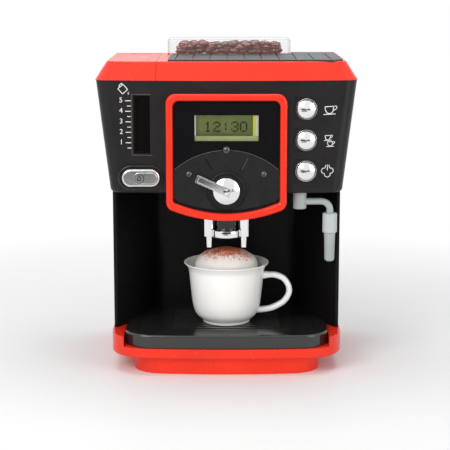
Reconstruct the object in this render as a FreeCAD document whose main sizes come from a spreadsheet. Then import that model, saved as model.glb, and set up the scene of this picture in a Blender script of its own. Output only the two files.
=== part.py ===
import FreeCAD, Part
import math
import os
import re
import Sketcher

# A toy espresso machine with its cup, standing on a shelf: front towards -Y, up +Z,
# origin under the middle of the machine on the surface that it stands on. Millimetres.

SIZES = {
    # whole machine
    "machine_depth": 162.0,
    "wall": 2.5,
    "slide_gap": 0.3,
    "shaft_gap": 0.05,
    # red base
    "base_width": 208.0,
    "base_height": 33.0,
    "base_bow": 6.0,
    "base_corner": 34.0,
    "base_back_corner": 8.0,
    "plinth_height": 15.0,
    "plinth_inset": 20.0,
    "plinth_setback": 5.0,
    "plinth_corner": 26.0,
    # black body with the cup bay
    "body_width": 206.0,
    "body_setback": 45.0,
    "bay_height": 129.5,
    "bay_depth": 68.0,
    "bay_mouth": 200.0,
    "bay_back": 128.0,
    "bay_round": 10.0,
    # charcoal head
    "head_top_width": 230.0,
    "head_height": 99.5,
    "head_setback": 12.0,
    "head_bow": 8.0,
    "head_corner": 12.0,
    "head_lower_round": 4.0,
    "tie_height": 8.0,
    "tie_depth": 6.0,
    # red top cover and tank lid
    "cover_width": 231.0,
    "cover_height": 16.0,
    "cover_slope": 32.0,
    "cover_skin": 2.5,
    "cover_seam": 61.5,
    "lid_back": 58.0,
    "lid_barrel": 3.5,
    "hinge_pin_radius": 1.2,
    "hinge_lug": 6.0,
    "scoop_radius": 50.0,
    "scoop_depth": 2.0,
    "scoop_side": 34.0,
    "scoop_share": 0.72,
    # ribbed cup warmer
    "warmer_left": 51.5,
    "warmer_right": 103.0,
    "warmer_front": 54.5,
    "warmer_back": 60.0,
    "warmer_sink": 1.5,
    "warmer_stand": 1.5,
    "warmer_corner": 12.0,
    "rib_pitch": 15.2,
    "rib_gap": 1.2,
    "rib_depth": 0.9,
    "rib_margin": 6.0,
    # bean hopper
    "hopper_left": 55.4,
    "hopper_right": 60.6,
    "hopper_front": 36.0,
    "hopper_depth": 33.0,
    "hopper_height": 15.5,
    "hopper_wall": 1.5,
    "hopper_round": 3.5,
    "bean_length": 12.0,
    "bean_width": 8.5,
    "bean_rise": 4.2,
    # front plate and its red frame
    "frame_width": 106.0,
    "frame_top": 11.0,
    "frame_drop": 12.5,
    "frame_bow": 11.0,
    "frame_band": 6.2,
    "frame_proud": 5.5,
    "frame_reach": 6.0,
    "frame_corner": 8.5,
    "frame_round": 2.8,
    "plate_proud": 2.0,
    "plate_thick": 7.0,
    "display_width": 56.0,
    "display_height": 22.6,
    "display_bottom": 47.2,
    "display_thick": 1.6,
    "module_thick": 4.0,
    # selector dial
    "knob_height": 3.4,
    "knob_radius": 11.7,
    "knob_length": 7.0,
    "knob_dome": 3.5,
    "lever_length": 29.0,
    "lever_width": 7.0,
    "lever_thick": 4.0,
    "lever_turn": 66.0,
    "dial_ring_radius": 17.4,
    "dial_ring_thick": 1.6,
    "dial_arch": 18.0,
    "dial_top": 39.7,
    "dial_thick": 1.0,
    "lamp_circle": 36.0,
    "lamp_radius": 2.7,
    "lamp_rise": 1.2,
    "divider_inner": 21.3,
    "divider_outer": 33.5,
    "divider_width": 0.8,
    "shaft_radius": 3.0,
    "shaft_length": 20.5,
    "selector_half": 8.0,
    "selector_depth": 5.0,
    "shaft_socket": 4.0,
    "post_length": 3.0,
    # push buttons on the right
    "panel_seam": 56.5,
    "panel_depth": 34.0,
    "button_x": 69.8,
    "button_pitch": 27.3,
    "lowest_button": 20.1,
    "button_radius": 7.8,
    "button_rim": 9.3,
    "rim_thick": 1.5,
    "button_proud": 3.4,
    "button_dome": 2.4,
    "button_stem": 12.0,
    "button_flange": 1.2,
    "button_travel": 2.5,
    "boss_depth": 4.0,
    "band_length": 43.0,
    "band_width": 21.0,
    "band_depth": 0.8,
    # water gauge and pour switch on the left
    "gauge_x": 74.1,
    "gauge_width": 14.3,
    "gauge_bottom": 35.5,
    "gauge_height": 51.0,
    "gauge_rim": 1.7,
    "gauge_sink": 1.5,
    "switch_x": 75.2,
    "switch_up": 14.2,
    "switch_length": 33.8,
    "switch_height": 16.0,
    "bezel_border": 3.2,
    "bezel_proud": 2.0,
    "switch_proud": 4.0,
    "switch_travel": 3.0,
    "switch_round": 2.0,
    # water tank, pump and hoses
    "tank_width": 30.0,
    "tank_depth": 122.0,
    "tank_height": 62.0,
    "tank_wall": 1.8,
    "tank_right": 67.0,
    "tank_front": 14.0,
    "tank_drop": 3.0,
    "pump_radius": 12.0,
    "pump_length": 46.0,
    "pump_x": 82.0,
    "pump_setback": 22.0,
    "pump_foot": 14.0,
    "hose_offset": 18.0,
    "hose_rise": 20.0,
    "hose_radius": 3.0,
    "hose_bore": 1.8,
    "hose_bend": 12.0,
    # coffee spout
    "spout_y": 29.0,
    "spout_spread": 31.4,
    "spout_tube_radius": 5.8,
    "spout_bottom": 43.0,
    "nozzle_radius": 3.3,
    "nozzle_tip_radius": 2.7,
    "nozzle_length": 10.2,
    "nozzle_bore": 1.6,
    "band_radius": 14.0,
    "band_height": 7.6,
    "brew_radius": 12.8,
    # steam wand
    "wand_x": 65.4,
    "wand_y": 15.0,
    "hub_radius": 6.0,
    "hub_height": 15.4,
    "arm_radius": 3.0,
    "arm_drop": 8.8,
    "arm_reach": 27.0,
    "arm_bend": 8.0,
    "sleeve_radius": 6.5,
    "sleeve_top": 19.2,
    "sleeve_length": 18.0,
    "tip_radius": 5.0,
    "tip_end_radius": 4.4,
    "tip_length": 26.0,
    # drip tray
    "tray_width": 184.0,
    "tray_base": 24.0,
    "tray_height": 12.0,
    "tray_corner": 26.0,
    "tray_rim": 18.0,
    "tray_well": 7.5,
    "tray_lip": 1.5,
    "grille_thick": 2.0,
    "grille_slot": 3.0,
    "grille_pitch": 7.5,
    # cup and foam
    "cup_y": 45.0,
    "cup_radius": 39.0,
    "cup_foot_radius": 21.5,
    "cup_height": 56.0,
    "cup_wall": 2.2,
    "cup_rim_drop": 9.0,
    "cup_foot_height": 6.0,
    "handle_reach": 24.0,
    "handle_radius": 3.2,
    "foam_radius": 29.0,
    "foam_rise": 13.0,
    "foam_sink": 5.0,
    # underside and electrics
    "cell_radius": 7.1,
    "cell_length": 50.0,
    "cell_pitch": 15.0,
    "bay_margin": 2.5,
    "box_wall": 1.5,
    "door_thick": 2.0,
    "contact_thick": 0.5,
    "speaker_radius": 20.0,
    "speaker_depth": 14.0,
    "speaker_up": 62.0,
    "speaker_rim": 3.0,
    "board_thick": 1.6,
    "screw_radius": 1.5,
    "screw_head": 3.0,
    "screw_length": 10.0,
}

HALF = "machine_depth / 2"
BODY_FRONT = "(-machine_depth / 2 + body_setback)"
BAY_END = "(-machine_depth / 2 + body_setback + bay_depth)"
HEAD_FRONT = "(-machine_depth / 2 + head_setback)"
SHELL_BACK = "(machine_depth / 2 - wall)"
HEAD_LOW = "(base_height + bay_height)"
HEAD_TOP = "(base_height + bay_height + head_height)"
COVER_TOP = "(base_height + bay_height + head_height + cover_height)"
KNOB_Z = "(base_height + bay_height + knob_height)"
PLATE_FRONT = "(-machine_depth / 2 + head_setback - plate_proud)"
DIAL_FRONT = "(-machine_depth / 2 + head_setback - plate_proud - dial_thick)"
RING_FRONT = "(-machine_depth / 2 + head_setback - plate_proud - dial_thick - dial_ring_thick)"
PLATE_BACK = "(-machine_depth / 2 + head_setback - plate_proud + plate_thick)"
TRAY_BOTTOM = "(tray_base + slide_gap)"
TRAY_TOP = "(tray_base + slide_gap + tray_height)"
CUP_BOTTOM = "(tray_base + 2 * slide_gap + tray_height)"
BAY_SLOPE = "((bay_mouth - bay_back) / (2 * bay_depth))"
WALL_ACROSS = "(wall * sqrt(1 + %s^2))" % BAY_SLOPE
TRAY_FRONT = "(-machine_depth / 2 + tray_lip)"
TRAY_BACK = "(%s - slide_gap)" % BAY_END
TRAY_SHIFT = "(slide_gap * sqrt(1 + %s^2))" % BAY_SLOPE
TRAY_SHOULDER = "(%s + (bay_mouth - tray_width) / 2 / %s)" % (BODY_FRONT, BAY_SLOPE)
PANEL_FACE = "(-machine_depth / 2 + head_setback + head_bow / 3 + band_depth)"
BOSS_BACK = "(-machine_depth / 2 + head_setback + head_bow / 2 + wall + boss_depth)"
SWITCH_FACE = "(%s + slide_gap + button_stem + button_travel + 0.2)" % BOSS_BACK
BOARD_FRONT = "(%s + post_length)" % PLATE_BACK
HINGE_Y = "(lid_back - lid_barrel)"
HINGE_Z = "(%s - lid_barrel)" % COVER_TOP
SPOUT_Y = "(-machine_depth / 2 + head_setback + spout_y)"
WAND_Y = "(-machine_depth / 2 + head_setback + wand_y)"
CUP_Y = "(-machine_depth / 2 + head_setback + cup_y)"
PUMP_Y = "(%s + wall + pump_setback)" % BAY_END
TANK_LOW = "(%s - tank_drop - tank_height)" % HEAD_TOP
TANK_HIGH = "(%s - tank_drop)" % HEAD_TOP

# Bow of a quarter turn, as a share of its radius
QUARTER_BOW = "(1 - sqrt(0.5))"

doc = FreeCAD.newDocument("ToyCoffeeMaker")
sheet = doc.addObject("Spreadsheet::Sheet", "Sizes")
pieces = []


def fill_sheet():
    for row, (alias, value) in enumerate(SIZES.items(), start=1):
        sheet.set("A%d" % row, alias)
        sheet.set("B%d" % row, str(value))
        sheet.setAlias("B%d" % row, alias)
    doc.recompute()


def led(formula):
    """The formula with each size name led to its cell in the sheet."""
    def cell(found):
        word = found.group()
        return "Sizes." + word if word in SIZES else word
    return re.sub(r"[a-z][a-z0-9_]*", cell, str(formula))


def mm(formula):
    """What the formula comes to now."""
    return float(sheet.evalExpression(led(formula)))


def piece(thing, name):
    """Name a finished sub-part; its file takes the same name."""
    thing.Label = name
    pieces.append(thing)
    return thing


# Sketched mouldings

def moulding(name):
    body = doc.addObject("PartDesign::Body", name + "_body")
    return piece(body, name)


def place(thing, x="0", y="0", z="0"):
    """Move a finished sub-part to its seat, bound to the sheet."""
    for axis, formula in zip("xyz", (x, y, z)):
        thing.setExpression("Placement.Base." + axis, led(formula))
    return thing


def fix_point(sketch, curve, end, x, y):
    for kind, formula in (("DistanceX", x), ("DistanceY", y)):
        row = sketch.addConstraint(Sketcher.Constraint(kind, -1, 1, curve, end, mm(formula)))
        sketch.setExpression("Constraints[%d]" % row, led(formula))


def fix_radius(sketch, curve, formula):
    row = sketch.addConstraint(Sketcher.Constraint("Radius", curve, mm(formula)))
    sketch.setExpression("Constraints[%d]" % row, led(formula))


def draw_circle(sketch, x, y, radius):
    centre = FreeCAD.Vector(mm(x), mm(y), 0)
    curve = sketch.addGeometry(Part.Circle(centre, FreeCAD.Vector(0, 0, 1), mm(radius)))
    fix_point(sketch, curve, 3, x, y)
    fix_radius(sketch, curve, radius)


def draw_loop(sketch, points):
    """A closed outline. A point is (x, y), or (x, y, bow) where the run that starts there bows by
    that much: to its right, or to its left where the bow is negative."""
    spots = [FreeCAD.Vector(mm(point[0]), mm(point[1]), 0) for point in points]
    ends = []
    for number, point in enumerate(points):
        start = spots[number]
        stop = spots[(number + 1) % len(points)]
        if len(point) == 2:
            curve = sketch.addGeometry(Part.LineSegment(start, stop))
            ends.append((curve, 1, 2))
            continue
        bow = mm(point[2])
        run = stop - start
        right = FreeCAD.Vector(run.y, -run.x, 0).normalize()
        middle = (start + stop) * 0.5 + right * bow
        if bow > 0:
            curve = sketch.addGeometry(Part.Arc(start, middle, stop))
            ends.append((curve, 1, 2))
        else:
            curve = sketch.addGeometry(Part.Arc(stop, middle, start))
            ends.append((curve, 2, 1))
    for number, point in enumerate(points):
        curve, first, last = ends[number]
        follower, its_first, its_last = ends[(number + 1) % len(points)]
        sketch.addConstraint(Sketcher.Constraint("Coincident", curve, last, follower, its_first))
        fix_point(sketch, curve, first, point[0], point[1])
        if len(point) == 3:
            fix_centre(sketch, curve, point, points[(number + 1) % len(points)])


def fix_centre(sketch, curve, start, stop):
    """Hold an arc's centre on the upright of its chord, as far off as its bow asks."""
    x_run = "(%s - (%s))" % (stop[0], start[0])
    y_run = "(%s - (%s))" % (stop[1], start[1])
    chord = "(%s^2 + %s^2)" % (x_run, y_run)
    away = "((%s) / 2 - %s / (8 * (%s))) / sqrt(%s)" % (start[2], chord, start[2], chord)
    if abs(mm(y_run)) > abs(mm(x_run)):
        kind = "DistanceX"
        formula = "(%s + (%s)) / 2 + %s * %s" % (stop[0], start[0], y_run, away)
    else:
        kind = "DistanceY"
        formula = "(%s + (%s)) / 2 - %s * %s" % (stop[1], start[1], x_run, away)
    row = sketch.addConstraint(Sketcher.Constraint(kind, -1, 1, curve, 3, mm(formula)))
    sketch.setExpression("Constraints[%d]" % row, led(formula))


def sketch_on(body, role, offset, loops):
    plane = [part for part in body.Origin.OriginFeatures if part.Role == role][0]
    sketch = body.newObject("Sketcher::SketchObject", "Outline")
    sketch.AttachmentSupport = [(plane, "")]
    sketch.MapMode = "FlatFace"
    sketch.setExpression("AttachmentOffset.Base.z", led(offset))
    for loop in loops:
        if isinstance(loop, tuple):
            draw_circle(sketch, *loop)
        else:
            draw_loop(sketch, loop)
    doc.recompute()
    return sketch


def pad(body, role, low, high, loops, taper=None):
    """Material between two levels, along Z, Y or X as the plane says."""
    offset = "-(%s)" % high if role == "XZ_Plane" else low
    feature = body.newObject("PartDesign::Pad", "Pad")
    feature.Profile = sketch_on(body, role, offset, loops)
    feature.setExpression("Length", led("(%s) - (%s)" % (high, low)))
    if taper:
        feature.setExpression("TaperAngle", led(taper))
    doc.recompute()
    return feature


def pocket(body, role, low, high, loops):
    """A cut between two levels, which has to take something away."""
    before = body.Shape.Volume
    offset = "-(%s)" % low if role == "XZ_Plane" else high
    feature = body.newObject("PartDesign::Pocket", "Pocket")
    feature.Profile = sketch_on(body, role, offset, loops)
    feature.setExpression("Length", led("(%s) - (%s)" % (high, low)))
    doc.recompute()
    if not body.Shape.Volume < before - 1e-3:
        raise RuntimeError("a pocket of %s cuts nothing" % body.Label)
    return feature


def turned(body, role, loops):
    """A profile turned about the plane's upright axis."""
    feature = body.newObject("PartDesign::Revolution", "Turning")
    sketch = sketch_on(body, role, "0", loops)
    feature.Profile = sketch
    feature.ReferenceAxis = (sketch, ["V_Axis"])
    feature.Angle = 360
    doc.recompute()
    return feature


def edge_names(shape, along=None, x=None, y=None, z=None, curved=None):
    """Names of the edges that lie within the given ranges and run along the given axis."""
    reach = 0.02
    chosen = []
    for number, edge in enumerate(shape.Edges, start=1):
        box = edge.BoundBox
        spans = {"x": (box.XMin, box.XMax), "y": (box.YMin, box.YMax), "z": (box.ZMin, box.ZMax)}
        limits = {"x": x, "y": y, "z": z}
        inside = all(
            limit is None or (spans[axis][0] > limit[0] - reach and spans[axis][1] < limit[1] + reach)
            for axis, limit in limits.items()
        )
        if not inside:
            continue
        lengths = {axis: span[1] - span[0] for axis, span in spans.items()}
        if along and (lengths[along] < reach or max(lengths, key=lengths.get) != along):
            continue
        if curved is not None and (edge.Curve.TypeId != "Part::GeomLine") != curved:
            continue
        chosen.append("Edge%d" % number)
    return chosen


def level(formula):
    """A range that holds one level only."""
    value = mm(formula)
    return (value, value)


def soften(body, radius, kind="Fillet", **where):
    """Round or chamfer the edges found by where they lie."""
    names = edge_names(body.Shape, **where)
    if not names:
        raise RuntimeError("no edge to round on %s" % body.Label)
    base = body.Tip
    feature = body.newObject("PartDesign::" + kind, kind)
    feature.Base = (base, names)
    feature.setExpression("Radius" if kind == "Fillet" else "Size", led(radius))
    body.Tip = feature
    doc.recompute()
    return feature


def repeat(body, feature, axis_role, length, count):
    """Repeat one feature in a row."""
    pattern = body.newObject("PartDesign::LinearPattern", "Row")
    axis = [part for part in body.Origin.OriginFeatures if part.Role == axis_role][0]
    pattern.Originals = [feature]
    pattern.Direction = (axis, [""])
    pattern.setExpression("Length", led(length))
    pattern.Occurrences = count
    body.Tip = pattern
    doc.recompute()
    return pattern


# Plain blocks, rods and their booleans

def block(x, y, z):
    """A box between pairs of levels."""
    box = doc.addObject("Part::Box", "Block")
    for side, span in zip(("Length", "Width", "Height"), (x, y, z)):
        box.setExpression(side, led("(%s) - (%s)" % (span[1], span[0])))
    return place(box, x[0], y[0], z[0])


TURNS = {
    "z": FreeCAD.Rotation(),
    "y": FreeCAD.Rotation(FreeCAD.Vector(1, 0, 0), -90),
    "x": FreeCAD.Rotation(FreeCAD.Vector(0, 1, 0), 90),
}


def rod(radius, length, start, axis="z"):
    cylinder = doc.addObject("Part::Cylinder", "Rod")
    cylinder.Placement = FreeCAD.Placement(FreeCAD.Vector(), TURNS[axis])
    cylinder.setExpression("Radius", led(radius))
    cylinder.setExpression("Height", led(length))
    return place(cylinder, *start)


def cone(radius, end_radius, length, start, axis="z"):
    taper = doc.addObject("Part::Cone", "Taper")
    taper.Placement = FreeCAD.Placement(FreeCAD.Vector(), TURNS[axis])
    taper.setExpression("Radius1", led(radius))
    taper.setExpression("Radius2", led(end_radius))
    taper.setExpression("Height", led(length))
    return place(taper, *start)


def joined(*things):
    fusion = doc.addObject("Part::MultiFuse", "Joined")
    fusion.Shapes = list(things)
    doc.recompute()
    return fusion


def less(base, *tools):
    cut = doc.addObject("Part::Cut", "Cut")
    cut.Base = base
    cut.Tool = tools[0] if len(tools) == 1 else joined(*tools)
    doc.recompute()
    return cut


def solids_of(name, *things):
    """Like pieces that share one node and stay separate solids."""
    group = doc.addObject("Part::Compound", name + "_group")
    group.Links = list(things)
    doc.recompute()
    return piece(group, name)


def set_shape(name, shape):
    feature = doc.addObject("Part::Feature", name + "_shape")
    feature.Shape = shape
    return piece(feature, name)


# Outlines that several pieces share

def bowed_outline(half_width, front, back, bow):
    """Plan of a piece whose front bows forward, anticlockwise from its left front corner."""
    return [
        ("-(%s)" % half_width, "%s + %s" % (front, bow), bow),
        (half_width, "%s + %s" % (front, bow)),
        (half_width, back),
        ("-(%s)" % half_width, back),
    ]


def rectangle(x_low, x_high, y_low, y_high):
    return [(x_low, y_low), (x_high, y_low), (x_high, y_high), (x_low, y_high)]


def stadium(x, y, length, height):
    """A rectangle with half-round ends."""
    radius = "(%s) / 2" % height
    left = "%s - (%s) / 2 + %s" % (x, length, radius)
    right = "%s + (%s) / 2 - %s" % (x, length, radius)
    low = "%s - %s" % (y, radius)
    high = "%s + %s" % (y, radius)
    return [(left, low), (right, low, radius), (right, high), (left, high, radius)]


# Red base: a bowed lip over a narrower plinth, hollow below, with the seat of the drip tray

def base_shell():
    body = moulding("base_shell")
    pad(body, "XY_Plane", "plinth_height", "base_height",
        [bowed_outline("base_width / 2", "-machine_depth / 2", HALF, "base_bow")])
    front = (-mm(HALF) - 1, 0)
    back = (0, mm(HALF) + 1)
    soften(body, "base_corner", along="z", y=front)
    soften(body, "base_back_corner", along="z", y=back)
    soften(body, "1.5", z=level("plinth_height"))
    plinth_half = "base_width / 2 - plinth_inset"
    pad(body, "XY_Plane", "0", "plinth_height",
        [bowed_outline(plinth_half, "-machine_depth / 2 + plinth_setback", HALF + " - plinth_setback",
                       "base_bow")])
    soften(body, "plinth_corner", along="z", y=front, z=(0, mm("plinth_height")))
    tray_half = "(tray_width / 2 + slide_gap)"
    bay_half = "(bay_back / 2 + slide_gap)"
    pocket(body, "XY_Plane", "tray_base", "base_height", [[
        ("-" + tray_half, "-machine_depth"),
        (tray_half, "-machine_depth"),
        (tray_half, TRAY_SHOULDER),
        (bay_half, BAY_END),
        ("-" + bay_half, BAY_END),
        ("-" + tray_half, TRAY_SHOULDER),
    ]])
    pocket(body, "XY_Plane", "0", "tray_base - wall", [rectangle(
        "-(%s - wall)" % plinth_half, "%s - wall" % plinth_half,
        "-machine_depth / 2 + plinth_setback + base_bow + plinth_corner",
        HALF + " - plinth_setback - wall")])


def battery_span(margin):
    """Left, right, front and back of the four cells side by side, with room round them."""
    half = "(2 * cell_pitch + %s)" % margin
    reach = "(cell_length / 2 + contact_thick + %s)" % margin
    return ["-" + half, half, "-" + reach, reach]


def base_plate():
    body = moulding("base_plate")
    half = "(base_width / 2 - plinth_inset - wall - slide_gap / 2)"
    pad(body, "XY_Plane", "0", "wall", [rectangle(
        "-" + half, half,
        "-machine_depth / 2 + plinth_setback + base_bow + plinth_corner + slide_gap / 2",
        HALF + " - plinth_setback - wall - slide_gap / 2")])
    pad(body, "XY_Plane", "wall", "tray_base - wall - slide_gap / 2",
        [rectangle(*battery_span("box_wall"))])
    pocket(body, "XY_Plane", "0", "tray_base - wall - box_wall", [rectangle(*battery_span("0"))])
    pocket(body, "XY_Plane", "0", "door_thick", [rectangle(*battery_span("bay_margin"))])


def battery_door():
    body = moulding("battery_door")
    left, right, front, back = battery_span("bay_margin")
    rim = "slide_gap / 2"
    pad(body, "XY_Plane", "0", "door_thick", [rectangle(
        "%s + %s" % (left, rim), "%s - %s" % (right, rim),
        "%s + %s" % (front, rim), "%s - %s" % (back, rim))])
    grip = pocket(body, "XY_Plane", "0", "0.6", [rectangle(
        "-12", "12", "%s + 4" % front, "%s + 5.2" % front)])
    repeat(body, grip, "Y_Axis", "9", 4)


def batteries():
    """Four cells, each with its raised end."""
    cells = []
    height = "door_thick + cell_radius"
    for number in range(4):
        x = "cell_pitch * %s" % (number - 1.5)
        sense = 1 if number % 2 else -1
        nub_start = "cell_length / 2 - 1.2" if sense > 0 else "-cell_length / 2"
        case_start = "-cell_length / 2" if sense > 0 else "-cell_length / 2 + 1.2"
        case = rod("cell_radius", "cell_length - 1.2", (x, case_start, height), "y")
        nub = rod("cell_radius * 0.38", "1.2", (x, nub_start, height), "y")
        cells.append(joined(case, nub))
    solids_of("batteries", *cells)


def battery_contacts():
    """Sprung plates at both ends of the cells: two bridges and two end tabs."""
    half = "cell_radius * 0.8"
    height = ("door_thick + cell_radius - %s" % half, "door_thick + cell_radius + %s" % half)
    plates = []
    for side in (-1, 1):
        inner = "%s * cell_length / 2" % side
        outer = "%s * (cell_length / 2 + contact_thick)" % side
        depth = (inner, outer) if side > 0 else (outer, inner)
        spans = ((-2, -1), (-1, 1), (1, 2)) if side > 0 else ((-2, 0), (0, 2))
        for left, right in spans:
            plates.append(block(("cell_pitch * %s + 1" % left, "cell_pitch * %s - 1" % right), depth, height))
    solids_of("battery_contacts", *plates)


# Black body: outer walls and the tapering walls of the cup bay, one moulding open at the back

def body_housing():
    body = moulding("body_housing")
    half = "body_width / 2"
    mouth = "bay_mouth / 2"
    inner = "(body_width / 2 - wall)"
    inner_y = "(%s + (bay_mouth / 2 + %s - %s) / %s)" % (BODY_FRONT, WALL_ACROSS, inner, BAY_SLOPE)
    behind = "(bay_back / 2 - wall * %s + %s)" % (BAY_SLOPE, WALL_ACROSS)
    loop = [
        ("-" + half, BODY_FRONT),
        ("-" + mouth, BODY_FRONT),
        ("-bay_back / 2", BAY_END),
        ("bay_back / 2", BAY_END),
        (mouth, BODY_FRONT),
        (half, BODY_FRONT),
        (half, SHELL_BACK),
        (inner, SHELL_BACK),
        (inner, inner_y),
        (behind, BAY_END + " + wall"),
        ("-" + behind, BAY_END + " + wall"),
        ("-" + inner, inner_y),
        ("-" + inner, SHELL_BACK),
        ("-" + half, SHELL_BACK),
    ]
    pad(body, "XY_Plane", "base_height", HEAD_LOW, [loop])
    front = (mm(BODY_FRONT), mm(BODY_FRONT))
    soften(body, "1.2", along="z", y=front)
    bay_corner = (mm(BAY_END), mm(BAY_END))
    soften(body, "bay_round", along="z", y=bay_corner)


def back_cover():
    """Rear panel of body and head, with sound holes behind the speaker."""
    body = moulding("back_cover")
    pad(body, "XZ_Plane", SHELL_BACK, HALF, [[
        ("-body_width / 2", "base_height"),
        ("body_width / 2", "base_height"),
        ("body_width / 2", HEAD_LOW),
        ("head_top_width / 2", HEAD_TOP),
        ("-head_top_width / 2", HEAD_TOP),
        ("-body_width / 2", HEAD_LOW),
    ]])
    soften(body, "1.2", kind="Chamfer", y=level(HALF))
    holes = [("0", "speaker_up + base_height", "1.8")]
    for ring, count in ((7.0, 6), (13.5, 12)):
        for number in range(count):
            angle = 360.0 * number / count
            x = "%s * cos(%s)" % (ring, angle)
            z = "speaker_up + base_height + %s * sin(%s)" % (ring, angle)
            holes.append((x, z, "1.8"))
    pocket(body, "XZ_Plane", SHELL_BACK, HALF, holes)
    slot = pocket(body, "XZ_Plane", SHELL_BACK, HALF,
                  [stadium("0", HEAD_LOW + " + 20", "90", "3.5")])
    repeat(body, slot, "Z_Axis", "60", 7)
    pocket(body, "XZ_Plane", SHELL_BACK, HALF, [(x, z, "screw_radius") for x, z in SCREW_SPOTS])
    pocket(body, "XZ_Plane", HALF + " - 1.2", HALF,
           [(x, z, "screw_head + 0.2") for x, z in SCREW_SPOTS])


SCREW_SPOTS = [
    ("%d * (body_width / 2 - 12)" % side, level_up)
    for side in (-1, 1)
    for level_up in ("base_height + 12", HEAD_LOW + " - 14", HEAD_TOP + " - 14")
]


def housing_screws():
    """Six pan-head screws that hold the rear panel, with their bosses behind it."""
    screws = []
    for x, z in SCREW_SPOTS:
        head = rod("screw_head", "1.2", (x, HALF + " - 1.2", z), "y")
        stem = rod("screw_radius", "screw_length", (x, HALF + " - 1.2 - screw_length", z), "y")
        screws.append(joined(head, stem))
    solids_of("housing_screws", *screws)


def screw_bosses():
    """Hollow posts that the rear panel's screws run into."""
    bosses = []
    for x, z in SCREW_SPOTS:
        start = (x, SHELL_BACK + " - screw_length", z)
        post = rod("screw_radius + 2", "screw_length", start, "y")
        bosses.append(less(post, rod("screw_radius", "screw_length", start, "y")))
    solids_of("screw_bosses", *bosses)


# Charcoal head: bowed front, sides that draw in downwards

def head_form(body):
    pad(body, "XY_Plane", HEAD_LOW, HEAD_TOP,
        [bowed_outline("head_top_width / 2", HEAD_FRONT, SHELL_BACK, "head_bow")])
    wedge = [
        ("body_width / 2", HEAD_LOW),
        ("head_top_width / 2 + 1", HEAD_LOW),
        ("head_top_width / 2 + 1", HEAD_TOP),
        ("head_top_width / 2", HEAD_TOP),
    ]
    mirrored = [("-(%s)" % x, z) for x, z in wedge]
    pocket(body, "XZ_Plane", "-machine_depth", "machine_depth", [wedge, mirrored[::-1]])
    front = (mm(HEAD_FRONT) - 1, mm(HEAD_FRONT) + mm("head_bow") + 1)
    soften(body, "head_corner", along="z", y=front)
    soften(body, "head_lower_round", along="y", z=level(HEAD_LOW))


def head_hollow(body):
    """Room inside the head, open above and below."""
    inner = "(body_width / 2 - wall)"
    pocket(body, "XY_Plane", HEAD_LOW, HEAD_TOP, [bowed_outline(
        "(%s - wall)" % inner, HEAD_FRONT + " + wall", "machine_depth", "head_bow")])
    grow = "(head_top_width - body_width) / 2"
    wedge = [
        ("%s - wall - 1" % inner, HEAD_LOW + " + wall"),
        ("%s - wall" % inner, HEAD_LOW + " + wall"),
        ("%s - wall + %s" % (inner, grow), HEAD_TOP),
        ("%s - wall - 1" % inner, HEAD_TOP),
    ]
    mirrored = [("-(%s)" % x, z) for x, z in wedge]
    pocket(body, "XZ_Plane", HEAD_FRONT + " + head_bow + head_corner", "machine_depth",
           [wedge, mirrored[::-1]])


def frame_outline(inset):
    """Upright outline of the red frame or of what lies inside it, drawn in by an inset."""
    half = "(frame_width / 2 - %s)" % inset
    top = "%s - frame_top - %s" % (HEAD_TOP, inset)
    low = "%s - frame_drop + %s" % (HEAD_LOW, inset)
    return [
        ("-" + half, low, "frame_bow"),
        (half, low),
        (half, top),
        ("-" + half, top),
    ]


def round_shoulders(half, top, turn):
    """Right side, top and left side of an upright outline with round top corners."""
    sag = "%s * %s" % (turn, QUARTER_BOW)
    return [
        (half, "%s - %s" % (top, turn), sag),
        ("%s - %s" % (half, turn), top),
        ("-%s + %s" % (half, turn), top, sag),
        ("-" + half, "%s - %s" % (top, turn)),
    ]


def frame_opening():
    """Outline inside the frame's band; the front plate fills it."""
    half = "(frame_width / 2 - frame_band)"
    top = "(%s - frame_top - frame_band)" % HEAD_TOP
    low = "(%s - frame_drop + frame_band)" % HEAD_LOW
    turn = "(frame_corner - frame_band / 2)"
    return [
        ("-%s + 3" % half, "%s - 1.6" % low, "frame_bow - 2.2"),
        ("%s - 3" % half, "%s - 1.6" % low, "1.2"),
        (half, low + " + 2.5"),
    ] + round_shoulders(half, top, turn) + [("-" + half, low + " + 2.5", "1.2")]


def head_shell():
    body = moulding("head_shell")
    head_form(body)
    head_hollow(body)
    across = "(head_top_width / 2 - wall)"
    pad(body, "XY_Plane", HEAD_TOP + " - tie_height", HEAD_TOP,
        [rectangle("-" + across, across, SHELL_BACK + " - tie_depth", SHELL_BACK)])
    front = "-machine_depth"
    half = "frame_width / 2"
    pocket(body, "XZ_Plane", front, "0", [
        [("-" + half, HEAD_LOW + " - 1"), (half, HEAD_LOW + " - 1")]
        + round_shoulders(half, HEAD_TOP + " - frame_top", "frame_corner")])
    pocket(body, "XY_Plane", HEAD_LOW, HEAD_TOP, [rectangle(
        "panel_seam", "head_top_width", "-machine_depth", HEAD_FRONT + " + panel_depth")])
    pocket(body, "XZ_Plane", front, "0", [
        rectangle("-gauge_x - gauge_width / 2", "-gauge_x + gauge_width / 2",
                  HEAD_LOW + " + gauge_bottom", HEAD_LOW + " + gauge_bottom + gauge_height"),
        stadium("-switch_x", HEAD_LOW + " + switch_up", "switch_length + 2 * slide_gap",
                "switch_height + 2 * slide_gap"),
    ])


def button_levels():
    return [HEAD_LOW + " + lowest_button + %d * button_pitch" % step for step in range(3)]


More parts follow.
